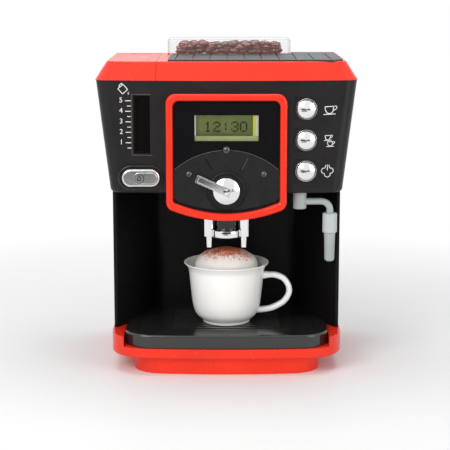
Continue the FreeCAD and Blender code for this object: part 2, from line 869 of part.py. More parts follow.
def button_panel():
    """Right front of the head: three sunk bands, each with its button hole."""
    body = moulding("button_panel")
    head_form(body)
    head_hollow(body)
    pocket(body, "XY_Plane", HEAD_LOW, HEAD_TOP, [
        rectangle("-head_top_width", "panel_seam + 0.2", "-machine_depth", "machine_depth")])
    pocket(body, "XY_Plane", HEAD_LOW, HEAD_TOP, [
        rectangle("0", "head_top_width", HEAD_FRONT + " + panel_depth - 0.2", "machine_depth")])
    boss = "button_rim + 1"
    pad(body, "XZ_Plane", HEAD_FRONT + " + head_bow / 2 + wall - 1", BOSS_BACK,
        [("button_x", z, boss) for z in button_levels()])
    bands = []
    for z in button_levels():
        left = "panel_seam + 2"
        right = "%s + band_length - band_width / 2" % left
        low = "%s - band_width / 2" % z
        high = "%s + band_width / 2" % z
        bands.append([(left, low), (right, low, "band_width / 2"), (right, high), (left, high)])
    pocket(body, "XZ_Plane", "-machine_depth", HEAD_FRONT + " + head_bow / 3 + band_depth", bands)
    pocket(body, "XZ_Plane", "-machine_depth", "0",
           [("button_x", z, "button_radius + slide_gap") for z in button_levels()])


def push_button(name, z):
    """A plated cap with a crowned face and a stem that ends short of its switch."""
    body = moulding(name)
    face = "-(rim_thick + button_proud)"
    shoulder = "(%s + button_dome)" % face
    back = "(%s - %s + slide_gap)" % (BOSS_BACK, PANEL_FACE)
    turned(body, "XY_Plane", [[
        ("0", face),
        ("0", back + " + button_stem"),
        ("button_radius / 3", back + " + button_stem"),
        ("button_radius / 3", back + " + button_flange"),
        ("button_radius + 1", back + " + button_flange"),
        ("button_radius + 1", back),
        ("button_radius", back),
        ("button_radius", shoulder, "-button_dome / 5"),
    ]])
    place(body, "button_x", PANEL_FACE, z)


def push_buttons():
    names = ("steam_button", "two_cup_button", "cup_button")
    for name, z in zip(names, button_levels()):
        push_button(name, z)


def button_rims():
    rings = []
    for z in button_levels():
        start = ("button_x", PANEL_FACE + " - rim_thick", z)
        ring = rod("button_rim", "rim_thick", start, "y")
        rings.append(less(ring, rod("button_radius + slide_gap", "rim_thick", start, "y")))
    solids_of("button_rims", *rings)


def button_board():
    """Circuit board behind the buttons, on two posts that stand on the head's floor."""
    back = SWITCH_FACE + " + 4"
    low = HEAD_LOW + " + wall"
    high = "%s + button_radius" % button_levels()[2]
    piece(block(("button_x - 10", "button_x + 10"), (back, back + " + board_thick"), (low, high)),
          "button_board")
    switches = []
    for z in button_levels():
        case = block(("button_x - 3", "button_x + 3"), (SWITCH_FACE + " + 1", back),
                     (z + " - 3", z + " + 3"))
        plunger = rod("1.5", "1", ("button_x", SWITCH_FACE, z), "y")
        switches.append(joined(case, plunger))
    solids_of("tact_switches", *switches)


def head_floor():
    body = moulding("head_floor")
    inner = "(body_width / 2 - 2 * wall)"
    pad(body, "XY_Plane", HEAD_LOW, HEAD_LOW + " + wall", [bowed_outline(
        inner, HEAD_FRONT + " + wall", SHELL_BACK, "head_bow")])
    pocket(body, "XY_Plane", HEAD_LOW, HEAD_LOW + " + wall", [
        rectangle("-frame_width / 2", "frame_width / 2", "-machine_depth",
                  HEAD_FRONT + " + frame_reach"),
        ("wand_x", WAND_Y, "hub_radius / 2 + shaft_gap"),
    ])
    pocket(body, "XY_Plane", HEAD_LOW, HEAD_LOW + " + wall", [rectangle(
        "-selector_half - slide_gap", "selector_half + slide_gap", "-machine_depth / 2",
        BOARD_FRONT + " + board_thick + selector_depth + slide_gap")])


# Front plate, its frame and the display

def frame_ring():
    body = moulding("frame_ring")
    front = HEAD_FRONT + " - frame_proud"
    back = HEAD_FRONT + " + frame_reach"
    pad(body, "XZ_Plane", front, back, [frame_outline("0")])
    soften(body, "frame_corner", along="y")
    pocket(body, "XZ_Plane", front, back, [frame_opening()])
    soften(body, "frame_round", y=level(front))


def faceplate():
    body = moulding("faceplate")
    pad(body, "XZ_Plane", PLATE_FRONT, PLATE_BACK, [frame_opening()])
    pocket(body, "XZ_Plane", PLATE_FRONT, PLATE_BACK, [rectangle(*display_span("0"))])
    pocket(body, "XZ_Plane", PLATE_FRONT, PLATE_BACK, [("0", KNOB_Z, "shaft_radius + shaft_gap")])


def display_span(inset):
    half = "(display_width / 2 - %s)" % inset
    low = HEAD_LOW + " + display_bottom"
    return ["-" + half, half, "%s + %s" % (low, inset), "%s + display_height - %s" % (low, inset)]


def display():
    lens = moulding("lcd_window")
    pad(lens, "XZ_Plane", PLATE_FRONT + " - 0.4", PLATE_FRONT + " + display_thick",
        [rectangle(*display_span("0"))])
    soften(lens, "0.35", kind="Chamfer", y=level(PLATE_FRONT + " - 0.4"))
    left, right, low, high = display_span("0")
    panel = block((left, right), (PLATE_FRONT + " + display_thick",
                                  PLATE_FRONT + " + display_thick + module_thick"), (low, high))
    piece(panel, "lcd_module")


def lamp_spots():
    """Centres of the three lamps, on a circle about the knob."""
    return [
        ("lamp_circle * sin(%s)" % turn, "%s + lamp_circle * cos(%s)" % (KNOB_Z, turn))
        for turn in ("-lever_turn", "0", "lever_turn")
    ]


def dial_plate():
    """Raised fan below the display, with two radial grooves between its three fields."""
    body = moulding("dial_plate")
    half = "(frame_width / 2 - frame_band - slide_gap)"
    shoulder = "%s + dial_top - dial_arch" % HEAD_LOW
    low = "(%s - frame_drop + frame_band)" % HEAD_LOW
    pad(body, "XZ_Plane", DIAL_FRONT, PLATE_FRONT, [[
        ("-%s + 3" % half, "%s + 0.5" % low, "frame_bow - 3"),
        ("%s - 3" % half, "%s + 0.5" % low),
        (half, low + " + 4"),
        (half, shoulder, "dial_arch"),
        ("-" + half, shoulder),
        ("-" + half, low + " + 4"),
    ]])
    grooves = []
    for turn in ("-lever_turn / 2", "lever_turn / 2"):
        corners = []
        for reach, side in (("divider_inner", -1), ("divider_inner", 1),
                            ("divider_outer", 1), ("divider_outer", -1)):
            across = "%s * divider_width / 2" % side
            x = "%s * sin(%s) + %s * cos(%s)" % (reach, turn, across, turn)
            z = "%s + %s * cos(%s) - %s * sin(%s)" % (KNOB_Z, reach, turn, across, turn)
            corners.append((x, z))
        grooves.append(corners)
    pocket(body, "XZ_Plane", DIAL_FRONT, DIAL_FRONT + " + 0.6", grooves)
    holes = [(x, z, "lamp_radius") for x, z in lamp_spots()]
    pocket(body, "XZ_Plane", DIAL_FRONT, PLATE_FRONT,
           holes + [("0", KNOB_Z, "shaft_radius + shaft_gap")])


def dial_ring():
    body = moulding("dial_ring")
    turned(body, "XY_Plane", [[
        ("knob_radius + slide_gap + 1.2", "0"),
        ("knob_radius + slide_gap + 0.6", "-dial_ring_thick"),
        ("dial_ring_radius - 1.2", "-dial_ring_thick"),
        ("dial_ring_radius", "0"),
    ]])
    place(body, "0", DIAL_FRONT, KNOB_Z)


def indicator_lamps():
    """Three domed lamps seated in the dial plate."""
    lamps = []
    for x, z in lamp_spots():
        stem = rod("lamp_radius", "dial_thick", (x, DIAL_FRONT, z), "y")
        dome = doc.addObject("Part::Ellipsoid", "Dome")
        dome.setExpression("Radius1", led("lamp_rise"))
        dome.setExpression("Radius2", led("lamp_radius"))
        dome.setExpression("Radius3", led("lamp_radius"))
        dome.Angle1 = 0
        dome.Angle2 = 90
        dome.Placement = FreeCAD.Placement(FreeCAD.Vector(), FreeCAD.Rotation(FreeCAD.Vector(1, 0, 0), 90))
        place(dome, x, DIAL_FRONT, z)
        lamps.append(joined(stem, dome))
    solids_of("indicator_lamps", *lamps)


def selector_knob():
    """Plated boss with a lever that points at one of the three lamps."""
    body = moulding("selector_knob")
    face = "-knob_length"
    turned(body, "XY_Plane", [[
        ("0", face),
        ("0", "-slide_gap"),
        ("knob_radius", "-slide_gap"),
        ("knob_radius", face + " + knob_dome", "-knob_dome / 6"),
    ]])
    arm = [
        ("-knob_radius / 3", "-lever_width / 2"),
        ("lever_length - 1", "-lever_width / 2"),
        ("lever_length", "-lever_width / 2 + 1"),
        ("lever_length", "lever_width / 2 - 1"),
        ("lever_length - 1", "lever_width / 2"),
        ("-knob_radius / 3", "lever_width / 2"),
    ]
    turned_arm = []
    for along, across in arm:
        x = "-(%s) * sin(lever_turn) + (%s) * cos(lever_turn)" % (along, across)
        z = "(%s) * cos(lever_turn) + (%s) * sin(lever_turn)" % (along, across)
        turned_arm.append((x, z))
    pad(body, "XZ_Plane", face + " + 0.4", face + " + 0.4 + lever_thick", [turned_arm[::-1]])
    tray = []
    for along, across in (("3", "-lever_width / 2 + 1.2"), ("lever_length - 2", "-lever_width / 2 + 1.2"),
                          ("lever_length - 2", "lever_width / 2 - 1.2"), ("3", "lever_width / 2 - 1.2")):
        x = "-(%s) * sin(lever_turn) + (%s) * cos(lever_turn)" % (along, across)
        z = "(%s) * cos(lever_turn) + (%s) * sin(lever_turn)" % (along, across)
        tray.append((x, z))
    pocket(body, "XZ_Plane", "-machine_depth", face + " + 1.2", [tray[::-1]])
    pocket(body, "XZ_Plane", "-slide_gap - shaft_socket", "-slide_gap", [("0", "0", "shaft_radius")])
    place(body, "0", RING_FRONT + " + dial_ring_thick", KNOB_Z)


def knob_shaft():
    """Shaft from the knob's socket through the front plate into the switch."""
    start = ("0", DIAL_FRONT + " - slide_gap - shaft_socket", KNOB_Z)
    piece(rod("shaft_radius", "shaft_length", start, "y"), "knob_shaft")


def control_board():
    """Board behind the front plate: it carries the display and the selector switch."""
    half = "(frame_width / 2 - frame_band - 2)"
    low = HEAD_LOW + " + wall"
    high = HEAD_TOP + " - frame_top - frame_band - 4"
    plate = block(("-" + half, half), (BOARD_FRONT, BOARD_FRONT + " + board_thick"), (low, high))
    posts = [
        rod("2.2", "post_length", ("%d * (%s - 5)" % (side, half), PLATE_BACK, spot), "y")
        for side in (-1, 1)
        for spot in (low + " + 6", high + " - 6")
    ]
    hole = rod("shaft_radius + 1", "2 * post_length", ("0", PLATE_BACK, KNOB_Z), "y")
    piece(less(plate, hole), "control_board")
    solids_of("board_posts", *posts)
    front = BOARD_FRONT + " + board_thick"
    case = block(("-selector_half", "selector_half"), (front, front + " + selector_depth"),
                 (HEAD_LOW, KNOB_Z + " + selector_half"))
    well = rod("shaft_radius + shaft_gap", "selector_depth", ("0", front, KNOB_Z), "y")
    piece(less(case, well), "selector_switch")


# Left of the head: gauge window, tank and pour switch

def gauge_window():
    body = moulding("gauge_window")
    half = "(gauge_width / 2)"
    low = HEAD_LOW + " + gauge_bottom"
    high = low + " + gauge_height"
    front = HEAD_FRONT + " + head_bow / 3 + gauge_sink"
    pad(body, "XZ_Plane", front, front + " + 4",
        [rectangle("-gauge_x - " + half, "-gauge_x + " + half, low, high)])
    pocket(body, "XZ_Plane", front, front + " + 1.5", [rectangle(
        "-gauge_x - %s + gauge_rim" % half, "-gauge_x + %s - gauge_rim" % half,
        low + " + gauge_rim", high + " - gauge_rim")])


def water_tank():
    """Open tank under the lid, its front close behind the gauge window."""
    body = moulding("water_tank")
    front = HEAD_FRONT + " + tank_front"
    right = "-tank_right"
    pad(body, "XY_Plane", TANK_LOW, TANK_HIGH,
        [rectangle(right + " - tank_width", right, front, front + " + tank_depth")])
    soften(body, "4", along="z")
    pocket(body, "XY_Plane", TANK_LOW + " + tank_wall", TANK_HIGH, [rectangle(
        right + " - tank_width + tank_wall", right + " - tank_wall",
        front + " + tank_wall", front + " + tank_depth - tank_wall")])
    pocket(body, "XY_Plane", TANK_LOW, TANK_LOW + " + tank_wall", [("-pump_x", PUMP_Y, "hose_bore")])


def tank_rails():
    """Two ledges on the head's floor that the tank stands on."""
    front = HEAD_FRONT + " + tank_front + 8"
    low = HEAD_LOW + " + wall"
    high = TANK_LOW
    rails = [
        block(("-tank_right - tank_width + %s" % inset, "-tank_right - tank_width + %s + 2" % inset),
              (front, front + " + tank_depth - 30"), (low, high))
        for inset in ("4", "tank_width - 8")
    ]
    solids_of("tank_rails", *rails)


def switch_bezel():
    body = moulding("switch_bezel")
    spot = ("-switch_x", HEAD_LOW + " + switch_up")
    pad(body, "XZ_Plane", HEAD_FRONT + " + head_bow / 3 - bezel_proud", HEAD_FRONT + " + head_bow",
        [stadium(spot[0], spot[1], "switch_length + 2 * bezel_border", "switch_height + 2 * bezel_border")])
    soften(body, "bezel_proud * 0.6", y=level(HEAD_FRONT + " + head_bow / 3 - bezel_proud"))
    pocket(body, "XZ_Plane", "-machine_depth", HEAD_FRONT + " + head_bow",
           [stadium(spot[0], spot[1], "switch_length + 2 * slide_gap", "switch_height + 2 * slide_gap")])
    trim = doc.addObject("Part::Cut", "BezelSeat")
    trim.Base = body
    trim.Tool = head_solid()
    doc.recompute()
    pieces.remove(body)
    body.Label = "switch_bezel_blank"
    piece(trim, "switch_bezel")


def head_solid():
    """The head's outer form, as the tool that fits a piece to its face."""
    body = doc.addObject("PartDesign::Body", "HeadBlank")
    head_form(body)
    return body


def pour_switch():
    """Long plated key with a raised oval at its right."""
    body = moulding("pour_switch")
    spot = ("-switch_x", HEAD_LOW + " + switch_up")
    face = HEAD_FRONT + " + head_bow / 3 - switch_proud"
    back = HEAD_FRONT + " + head_bow + wall + slide_gap"
    pad(body, "XZ_Plane", face, back,
        [stadium(spot[0], spot[1], "switch_length", "switch_height")])
    soften(body, "switch_round", y=level(face))
    pad(body, "XZ_Plane", face + " - 0.8", face, [stadium(
        spot[0] + " + switch_height / 4", spot[1], "switch_length - switch_height / 2 - 5",
        "switch_height - 6")])
    soften(body, "0.5", y=level(face + " - 0.8"))
    pad(body, "XZ_Plane", back, back + " + 1.2",
        [stadium(spot[0], spot[1], "switch_length + 2", "switch_height + 2")])
    pad(body, "XZ_Plane", back + " + 1.2", back + " + 5", [("-switch_x", spot[1], "4")])


# Red cover, tank lid and their hinge

def cover_form(body):
    pad(body, "XY_Plane", HEAD_TOP, COVER_TOP,
        [bowed_outline("cover_width / 2", HEAD_FRONT, HALF, "head_bow")], taper="-cover_slope")
    front = (mm(HEAD_FRONT) - 1, 0)
    soften(body, "head_corner", along="z", y=front)
    soften(body, "1.2", z=level(COVER_TOP))


def lid_room(growth):
    """Plan of the tank lid's corner, grown or shrunk."""
    return rectangle("-cover_width", "-cover_seam + %s" % growth, "-machine_depth",
                     "lid_back + %s" % growth)


def top_cover():
    body = moulding("top_cover")
    cover_form(body)
    run = "(cover_height * tan(cover_slope))"
    pocket(body, "XY_Plane", HEAD_TOP, COVER_TOP + " - cover_skin", [rectangle(
        "-cover_seam + wall + slide_gap / 2", "cover_width / 2 - %s - wall" % run,
        HEAD_FRONT + " + head_bow + %s + wall" % run, HALF + " - %s - wall" % run)])
    pocket(body, "XY_Plane", HEAD_TOP, COVER_TOP, [lid_room("slide_gap / 2")])
    pocket(body, "XY_Plane", COVER_TOP + " - warmer_sink", COVER_TOP, [warmer_plan("0")])
    for x in lug_places():
        pad(body, "YZ_Plane", x, x + " + hinge_lug", [[
            ("lid_back + slide_gap / 2", HINGE_Z + " - lid_barrel + 0.5"),
            ("lid_back + slide_gap / 2", HINGE_Z + " + lid_barrel - 0.5"),
            (HINGE_Y, HINGE_Z + " + lid_barrel - 0.5", "lid_barrel - 0.5"),
            (HINGE_Y, HINGE_Z + " - lid_barrel + 0.5"),
        ]])
    pocket(body, "YZ_Plane", "-cover_width / 2", "-cover_seam - 1", [(HINGE_Y, HINGE_Z, "hinge_pin_radius")])


def lug_places():
    return ["-cover_width / 2 + 24", "-cover_seam - 16"]


def tank_lid():
    body = moulding("tank_lid")
    cover_form(body)
    pocket(body, "XY_Plane", HEAD_TOP, COVER_TOP, [rectangle(
        "-cover_seam - slide_gap / 2", "cover_width", "-machine_depth", "machine_depth")])
    pocket(body, "XY_Plane", HEAD_TOP, COVER_TOP, [rectangle(
        "-cover_width", "cover_width", "lid_back - slide_gap / 2", "machine_depth")])
    run = "(cover_height * tan(cover_slope))"
    pocket(body, "XY_Plane", HEAD_TOP, COVER_TOP + " - cover_skin - lid_barrel", [rectangle(
        "-cover_width / 2 + %s + wall" % run, "-cover_seam - wall - slide_gap",
        HEAD_FRONT + " + head_bow + %s + wall" % run, "lid_back - 2 * lid_barrel")])
    soften(body, "lid_barrel - slide_gap / 2", along="x", y=level("lid_back - slide_gap / 2"))
    notches = [
        rectangle(x + " - slide_gap", x + " + hinge_lug + slide_gap", HINGE_Y + " - lid_barrel - slide_gap",
                  "lid_back")
        for x in lug_places()
    ]
    pocket(body, "XY_Plane", HEAD_TOP, COVER_TOP, notches)
    pocket(body, "YZ_Plane", "-cover_width / 2 + cover_height * tan(cover_slope) + 2.8", "-cover_seam - 3",
           [(HINGE_Y, HINGE_Z, "hinge_pin_radius + shaft_gap")])
    ball = doc.addObject("Part::Sphere", "Scoop")
    ball.setExpression("Radius", led("scoop_radius"))
    rise = "cover_height * scoop_share"
    away = "(scoop_radius - scoop_depth)"
    place(ball, "-cover_width / 2 + scoop_side",
          "%s + head_bow / 2 + %s * tan(cover_slope) - %s * cos(cover_slope)" % (HEAD_FRONT, rise, away),
          "%s + %s + %s * sin(cover_slope)" % (HEAD_TOP, rise, away))
    pieces.remove(body)
    body.Label = "tank_lid_blank"
    seat = block(("-cover_width", "0"), ("-machine_depth", "machine_depth"),
                 (HEAD_TOP + " - 1", HEAD_TOP + " + slide_gap"))
    piece(less(body, ball, seat), "tank_lid")


def lid_hinge_pin():
    start = ("-cover_width / 2 + cover_height * tan(cover_slope) + 3", HINGE_Y, HINGE_Z)
    length = "cover_width / 2 - cover_height * tan(cover_slope) - 3 - cover_seam - 3.2"
    piece(rod("hinge_pin_radius", length, start, "x"), "lid_hinge_pin")


# Cup warmer and bean hopper on top

def warmer_plan(inset):
    """L-shaped plan that leaves the hopper's corner free."""
    return [
        ("-warmer_left + %s" % inset, "-warmer_front + %s" % inset),
        ("warmer_right - %s - warmer_corner" % inset, "-warmer_front + %s" % inset,
         "warmer_corner * " + QUARTER_BOW),
        ("warmer_right - %s" % inset, "-warmer_front + warmer_corner"),
        ("warmer_right - %s" % inset, "warmer_back - %s" % inset),
        ("hopper_right + 1 + %s" % inset, "warmer_back - %s" % inset),
        ("hopper_right + 1 + %s" % inset, "hopper_front - 1 - %s" % inset),
        ("-warmer_left + %s" % inset, "hopper_front - 1 - %s" % inset),
    ]


def warmer_tray():
    body = moulding("warmer_tray")
    low = COVER_TOP + " - warmer_sink"
    high = COVER_TOP + " + warmer_stand"
    pad(body, "XY_Plane", low, high, [warmer_plan("0")])
    soften(body, "0.6", z=level(high))
    groove = pocket(body, "XY_Plane", high + " - rib_depth", high, [rectangle(
        "-warmer_left + rib_margin", "-warmer_left + rib_margin + rib_gap",
        "-warmer_front + 3", "hopper_front - 4")])
    repeat(body, groove, "X_Axis", "9 * rib_pitch", 10)


def bean_hopper():
    """Clear cover over the beans, open below."""
    body = moulding("bean_hopper")
    low = COVER_TOP
    high = COVER_TOP + " + hopper_height"
    pad(body, "XY_Plane", low, high, [rectangle(
        "-hopper_left", "hopper_right", "hopper_front", "hopper_front + hopper_depth")])
    soften(body, "hopper_round", along="z")
    soften(body, "hopper_round - 0.5", z=level(high))
    pocket(body, "XY_Plane", low, high + " - hopper_wall", [rectangle(
        "-hopper_left + hopper_wall", "hopper_right - hopper_wall",
        "hopper_front + hopper_wall", "hopper_front + hopper_depth - hopper_wall")])


def coffee_beans():
    """One moulded heap: a bed with three rows of beans along it."""
    bed = block(("-hopper_left + hopper_wall + 1", "hopper_right - hopper_wall - 1"),
                ("hopper_front + hopper_wall + 1", "hopper_front + hopper_depth - hopper_wall - 1"),
                (COVER_TOP, COVER_TOP + " + 7"))
    beans = [bed]
    span = mm("hopper_left + hopper_right - 2 * hopper_wall - 4")
    count = int(span // mm("bean_length"))
    for row in range(3):
        for number in range(count):
            bean = doc.addObject("Part::Ellipsoid", "Bean")
            bean.setExpression("Radius1", led("bean_rise"))
            bean.setExpression("Radius2", led("bean_length / 2"))
            bean.setExpression("Radius3", led("bean_width / 2"))
            turn = 25.0 * math.sin(2.3 * number + 1.7 * row)
            bean.Placement = FreeCAD.Placement(
                FreeCAD.Vector(), FreeCAD.Rotation(FreeCAD.Vector(0, 0, 1), turn))
            x = "-hopper_left + hopper_wall + 2 + bean_length * %s" % (number + 0.5 + 0.06 * (row - 1))
            y = "hopper_front + hopper_wall + 1.5 + bean_width * %s" % (row + 0.62)
            z = COVER_TOP + " + 8.3 + %s" % (0.8 if row == 1 else 0.0)
            place(bean, x, y, z)
            beans.append(bean)
    piece(joined(*beans), "coffee_beans")


# Coffee spout under the head

def brew_head():
    low = HEAD_LOW + " - spout_bottom + band_height - 0.8"
    piece(rod("brew_radius", "spout_bottom - band_height + 0.8", ("0", SPOUT_Y, low)), "brew_head")


def spout_body():
    """Two plated down tubes joined by a curved band."""
    low = HEAD_LOW + " - spout_bottom"
    tubes = [
        rod("spout_tube_radius", "spout_bottom", ("%d * spout_spread / 2" % side, SPOUT_Y, low))
        for side in (-1, 1)
    ]
    band = rod("band_radius", "band_height", ("0", SPOUT_Y, low))
    solid = joined(*tubes, band)
    keep_out = rod("brew_radius", "spout_bottom", ("0", SPOUT_Y, low + " + band_height - 0.8"))
    bores = [
        rod("nozzle_bore", "spout_bottom", ("%d * spout_spread / 2" % side, SPOUT_Y, low))
        for side in (-1, 1)
    ]
    piece(less(solid, keep_out, *bores), "spout_body")


def spout_nozzles():
    nozzles = []
    for side in (-1, 1):
        x = "%d * spout_spread / 2" % side
        low = HEAD_LOW + " - spout_bottom - nozzle_length"
        shape = cone("nozzle_tip_radius", "nozzle_radius", "nozzle_length", (x, SPOUT_Y, low))
        nozzles.append(less(shape, rod("nozzle_bore", "nozzle_length", (x, SPOUT_Y, low))))
    solids_of("spout_nozzles", *nozzles)


# Steam wand, turning about an upright hub

def wand_hub():
    body = moulding("wand_hub")
    low = "-hub_height"
    turned(body, "XZ_Plane", [[
        ("0", low),
        ("hub_radius - 1.5", low, "0.45"),
        ("hub_radius", low + " + 1.5"),
        ("hub_radius", "-slide_gap"),
        ("hub_radius / 2", "-slide_gap"),
        ("hub_radius / 2", "wall + slide_gap"),
        ("hub_radius / 2 + 1.5", "wall + slide_gap"),
        ("hub_radius / 2 + 1.5", "wall + slide_gap + 1.5"),
        ("0", "wall + slide_gap + 1.5"),
    ]])
    place(body, "wand_x", WAND_Y, HEAD_LOW)


def wand_arm():
    """Bent tube: out of the hub, round a bend and down into the sleeve."""
    reach = mm("arm_reach")
    bend = mm("arm_bend")
    drop = mm("sleeve_top - arm_drop")
    begin = FreeCAD.Vector(mm("hub_radius") - 1, 0, 0)
    turn_start = FreeCAD.Vector(reach - bend, 0, 0)
    turn_end = FreeCAD.Vector(reach, 0, -bend)
    half_turn = FreeCAD.Vector(reach - bend + bend * math.sin(math.pi / 4), 0,
                               -bend + bend * math.cos(math.pi / 4))
    runs = [
        Part.LineSegment(begin, turn_start).toShape(),
        Part.Arc(turn_start, half_turn, turn_end).toShape(),
        Part.LineSegment(turn_end, FreeCAD.Vector(reach, 0, -drop - 2)).toShape(),
    ]
    end = Part.Wire(Part.Circle(begin, FreeCAD.Vector(1, 0, 0), mm("arm_radius")).toShape())
    tube = Part.Wire(runs).makePipeShell([end], True, False)
    hub = Part.makeCylinder(mm("hub_radius"), 40, FreeCAD.Vector(0, 0, -20))
    sleeve = Part.makeCylinder(mm("sleeve_radius"), 40, FreeCAD.Vector(reach, 0, -drop - 40))
    arm = set_shape("wand_arm", tube.cut(hub).cut(sleeve))
    place(arm, "wand_x", WAND_Y, HEAD_LOW + " - arm_drop")


def wand_sleeve():
    body = moulding("wand_sleeve")
    turned(body, "XZ_Plane", [[
        ("0", "-sleeve_length"),
        ("sleeve_radius - 1", "-sleeve_length"),
        ("sleeve_radius", "-sleeve_length + 1"),
        ("sleeve_radius", "-1"),
        ("sleeve_radius - 1", "0"),
        ("0", "0"),
    ]])
    place(body, "wand_x + arm_reach", WAND_Y, HEAD_LOW + " - sleeve_top")


def wand_tip():
    body = moulding("wand_tip")
    turned(body, "XZ_Plane", [[
        ("0", "-tip_length"),
        ("tip_end_radius - 2.5", "-tip_length", "0.7"),
        ("tip_end_radius", "-tip_length + 2.5"),
        ("tip_radius", "0"),
        ("0", "0"),
    ]])
    place(body, "wand_x + arm_reach", WAND_Y, HEAD_LOW + " - sleeve_top - sleeve_length")


# Drip tray and its slotted plate

def tray_plan(half, front, bow, shoulder, back_half, back):
    return [
        ("-(%s)" % half, "%s + %s" % (front, bow), bow),
        (half, "%s + %s" % (front, bow)),
        (half, shoulder),
        (back_half, back),
        ("-(%s)" % back_half, back),
        ("-(%s)" % half, shoulder),
    ]


def well_plan(inset):
    """The sunk area of the tray, which the slotted plate fills."""
    half = "(tray_width / 2 - 12 - %s)" % inset
    back_half = "(bay_back / 2 - 8 - %s)" % inset
    return [
        ("-" + half, TRAY_FRONT + " + tray_rim + %s" % inset),
        (half, TRAY_FRONT + " + tray_rim + %s" % inset),
        (half, TRAY_SHOULDER + " - 2"),
        (back_half, TRAY_BACK + " - 6 - %s" % inset),
        ("-" + back_half, TRAY_BACK + " - 6 - %s" % inset),
        ("-" + half, TRAY_SHOULDER + " - 2"),
    ]


def drip_tray():
    body = moulding("drip_tray")
    pad(body, "XY_Plane", TRAY_BOTTOM, TRAY_TOP, [tray_plan(
        "tray_width / 2", TRAY_FRONT, "base_bow - 1", TRAY_SHOULDER + " - slide_gap",
        "(bay_back / 2 - %s)" % TRAY_SHIFT, TRAY_BACK)])
    front = (mm(TRAY_FRONT) - 1, mm(TRAY_FRONT) + mm("base_bow") + 1)
    soften(body, "tray_corner", along="z", y=front)
    soften(body, "bay_round - slide_gap", along="z", y=level(TRAY_BACK))
    soften(body, "2", z=level(TRAY_TOP), y=(mm(TRAY_FRONT) - 1, mm(BODY_FRONT)), curved=True)
    pocket(body, "XY_Plane", TRAY_TOP + " - tray_well", TRAY_TOP, [well_plan("2")])
    pocket(body, "XY_Plane", TRAY_TOP + " - grille_thick", TRAY_TOP, [well_plan("0")])


def drip_grille():
    """Slotted plate that drops into the tray; the cup stands on it."""
    body = moulding("drip_grille")
    low = TRAY_TOP + " - grille_thick"
    pad(body, "XY_Plane", low, TRAY_TOP, [well_plan("0.2")])
    slot = pocket(body, "XY_Plane", low, TRAY_TOP, [stadium(
        "0", TRAY_FRONT + " + tray_rim + 9", "bay_back - 30", "grille_slot")])
    repeat(body, slot, "Y_Axis", "9 * grille_pitch", 10)


# Cup with its moulded foam

def cup():
    body = moulding("cup")
    shelf = "cup_height - cup_rim_drop"
    turned(body, "XZ_Plane", [[
        ("0", "1.2"),
        ("cup_foot_radius - 3", "1.2"),
        ("cup_foot_radius - 2.5", "0"),
        ("cup_foot_radius", "0"),
        ("cup_foot_radius", "cup_foot_height", "cup_foot_radius / 8"),
        ("cup_radius - 6.5", "cup_height * 0.58"),
        ("cup_radius - 4.2", shelf),
        ("cup_radius - 1.5", shelf + " + 1"),
        ("cup_radius", "cup_height - 2"),
        ("cup_radius - 0.8", "cup_height"),
        ("cup_radius - cup_wall", "cup_height"),
        ("cup_radius - 4.2 - cup_wall", shelf),
        ("cup_radius - 6.5 - cup_wall", "cup_height * 0.58", "-cup_foot_radius / 8"),
        ("cup_foot_radius - cup_wall", "cup_foot_height + cup_wall"),
        ("0", "cup_foot_height + cup_wall"),
    ]])
    pieces.remove(body)
    body.Label = "cup_bowl"
    place(body, "0", CUP_Y, CUP_BOTTOM)
    rim = mm("cup_radius")
    reach = mm("handle_reach")
    tall = mm("cup_height")
    bends = [
        (rim - 8, 0.79), (rim + 0.28 * reach, 0.78), (rim + 0.72 * reach, 0.68),
        (rim + 0.86 * reach, 0.53), (rim + 0.55 * reach, 0.34), (rim - 0.05 * reach, 0.22), (rim - 14, 0.17),
    ]
    curve = Part.BSplineCurve()
    curve.interpolate([FreeCAD.Vector(x, 0, share * tall) for x, share in bends])
    path = Part.Wire(curve.toShape())
    ring = Part.Wire(Part.Circle(curve.value(0), curve.tangent(0)[0], mm("handle_radius")).toShape())
    loop = path.makePipeShell([ring], True, True)
    hollow = Part.makeCone(mm("cup_foot_radius"), mm("cup_radius - cup_wall - 1"), mm("cup_height"))
    handle = doc.addObject("Part::Feature", "CupHandle")
    handle.Shape = loop.cut(hollow)
    place(handle, "0", CUP_Y, CUP_BOTTOM)
    piece(joined(body, handle), "cup")


def foam_insert():
    body = moulding("foam_insert")
    rim = "cup_height - foam_sink"
    rise = "(foam_rise + foam_sink - 0.6)"
    ball = "((foam_radius^2 + %s^2) / (2 * %s))" % (rise, rise)
    bow = "%s - sqrt(%s^2 - (foam_radius^2 + %s^2) / 4)" % (ball, ball, rise)
    turned(body, "XZ_Plane", [[
        ("0", rim + " - 2"),
        ("cup_radius - cup_wall - 0.1 - 4.2 * (foam_sink + 2) / cup_rim_drop", rim + " - 2"),
        ("cup_radius - cup_wall - 0.1 - 4.2 * foam_sink / cup_rim_drop", rim),
        ("foam_radius", rim + " + 0.6", bow),
        ("0", "cup_height + foam_rise"),
    ]])
    place(body, "0", CUP_Y, CUP_BOTTOM)


# Pump, hoses, speaker and main board behind the bay

def water_pump():
    """Small motor pump standing on a post of the base, with an inlet and an outlet stub."""
    low = "base_height + pump_foot"
    case = rod("pump_radius", "pump_length", ("-pump_x", PUMP_Y, low))
    foot = rod("pump_radius - 4", "pump_foot", ("-pump_x", PUMP_Y, "base_height"))
    head = rod("pump_radius - 3", "6", ("-pump_x", PUMP_Y, low + " + pump_length"))
    piece(joined(case, foot, head), "water_pump")


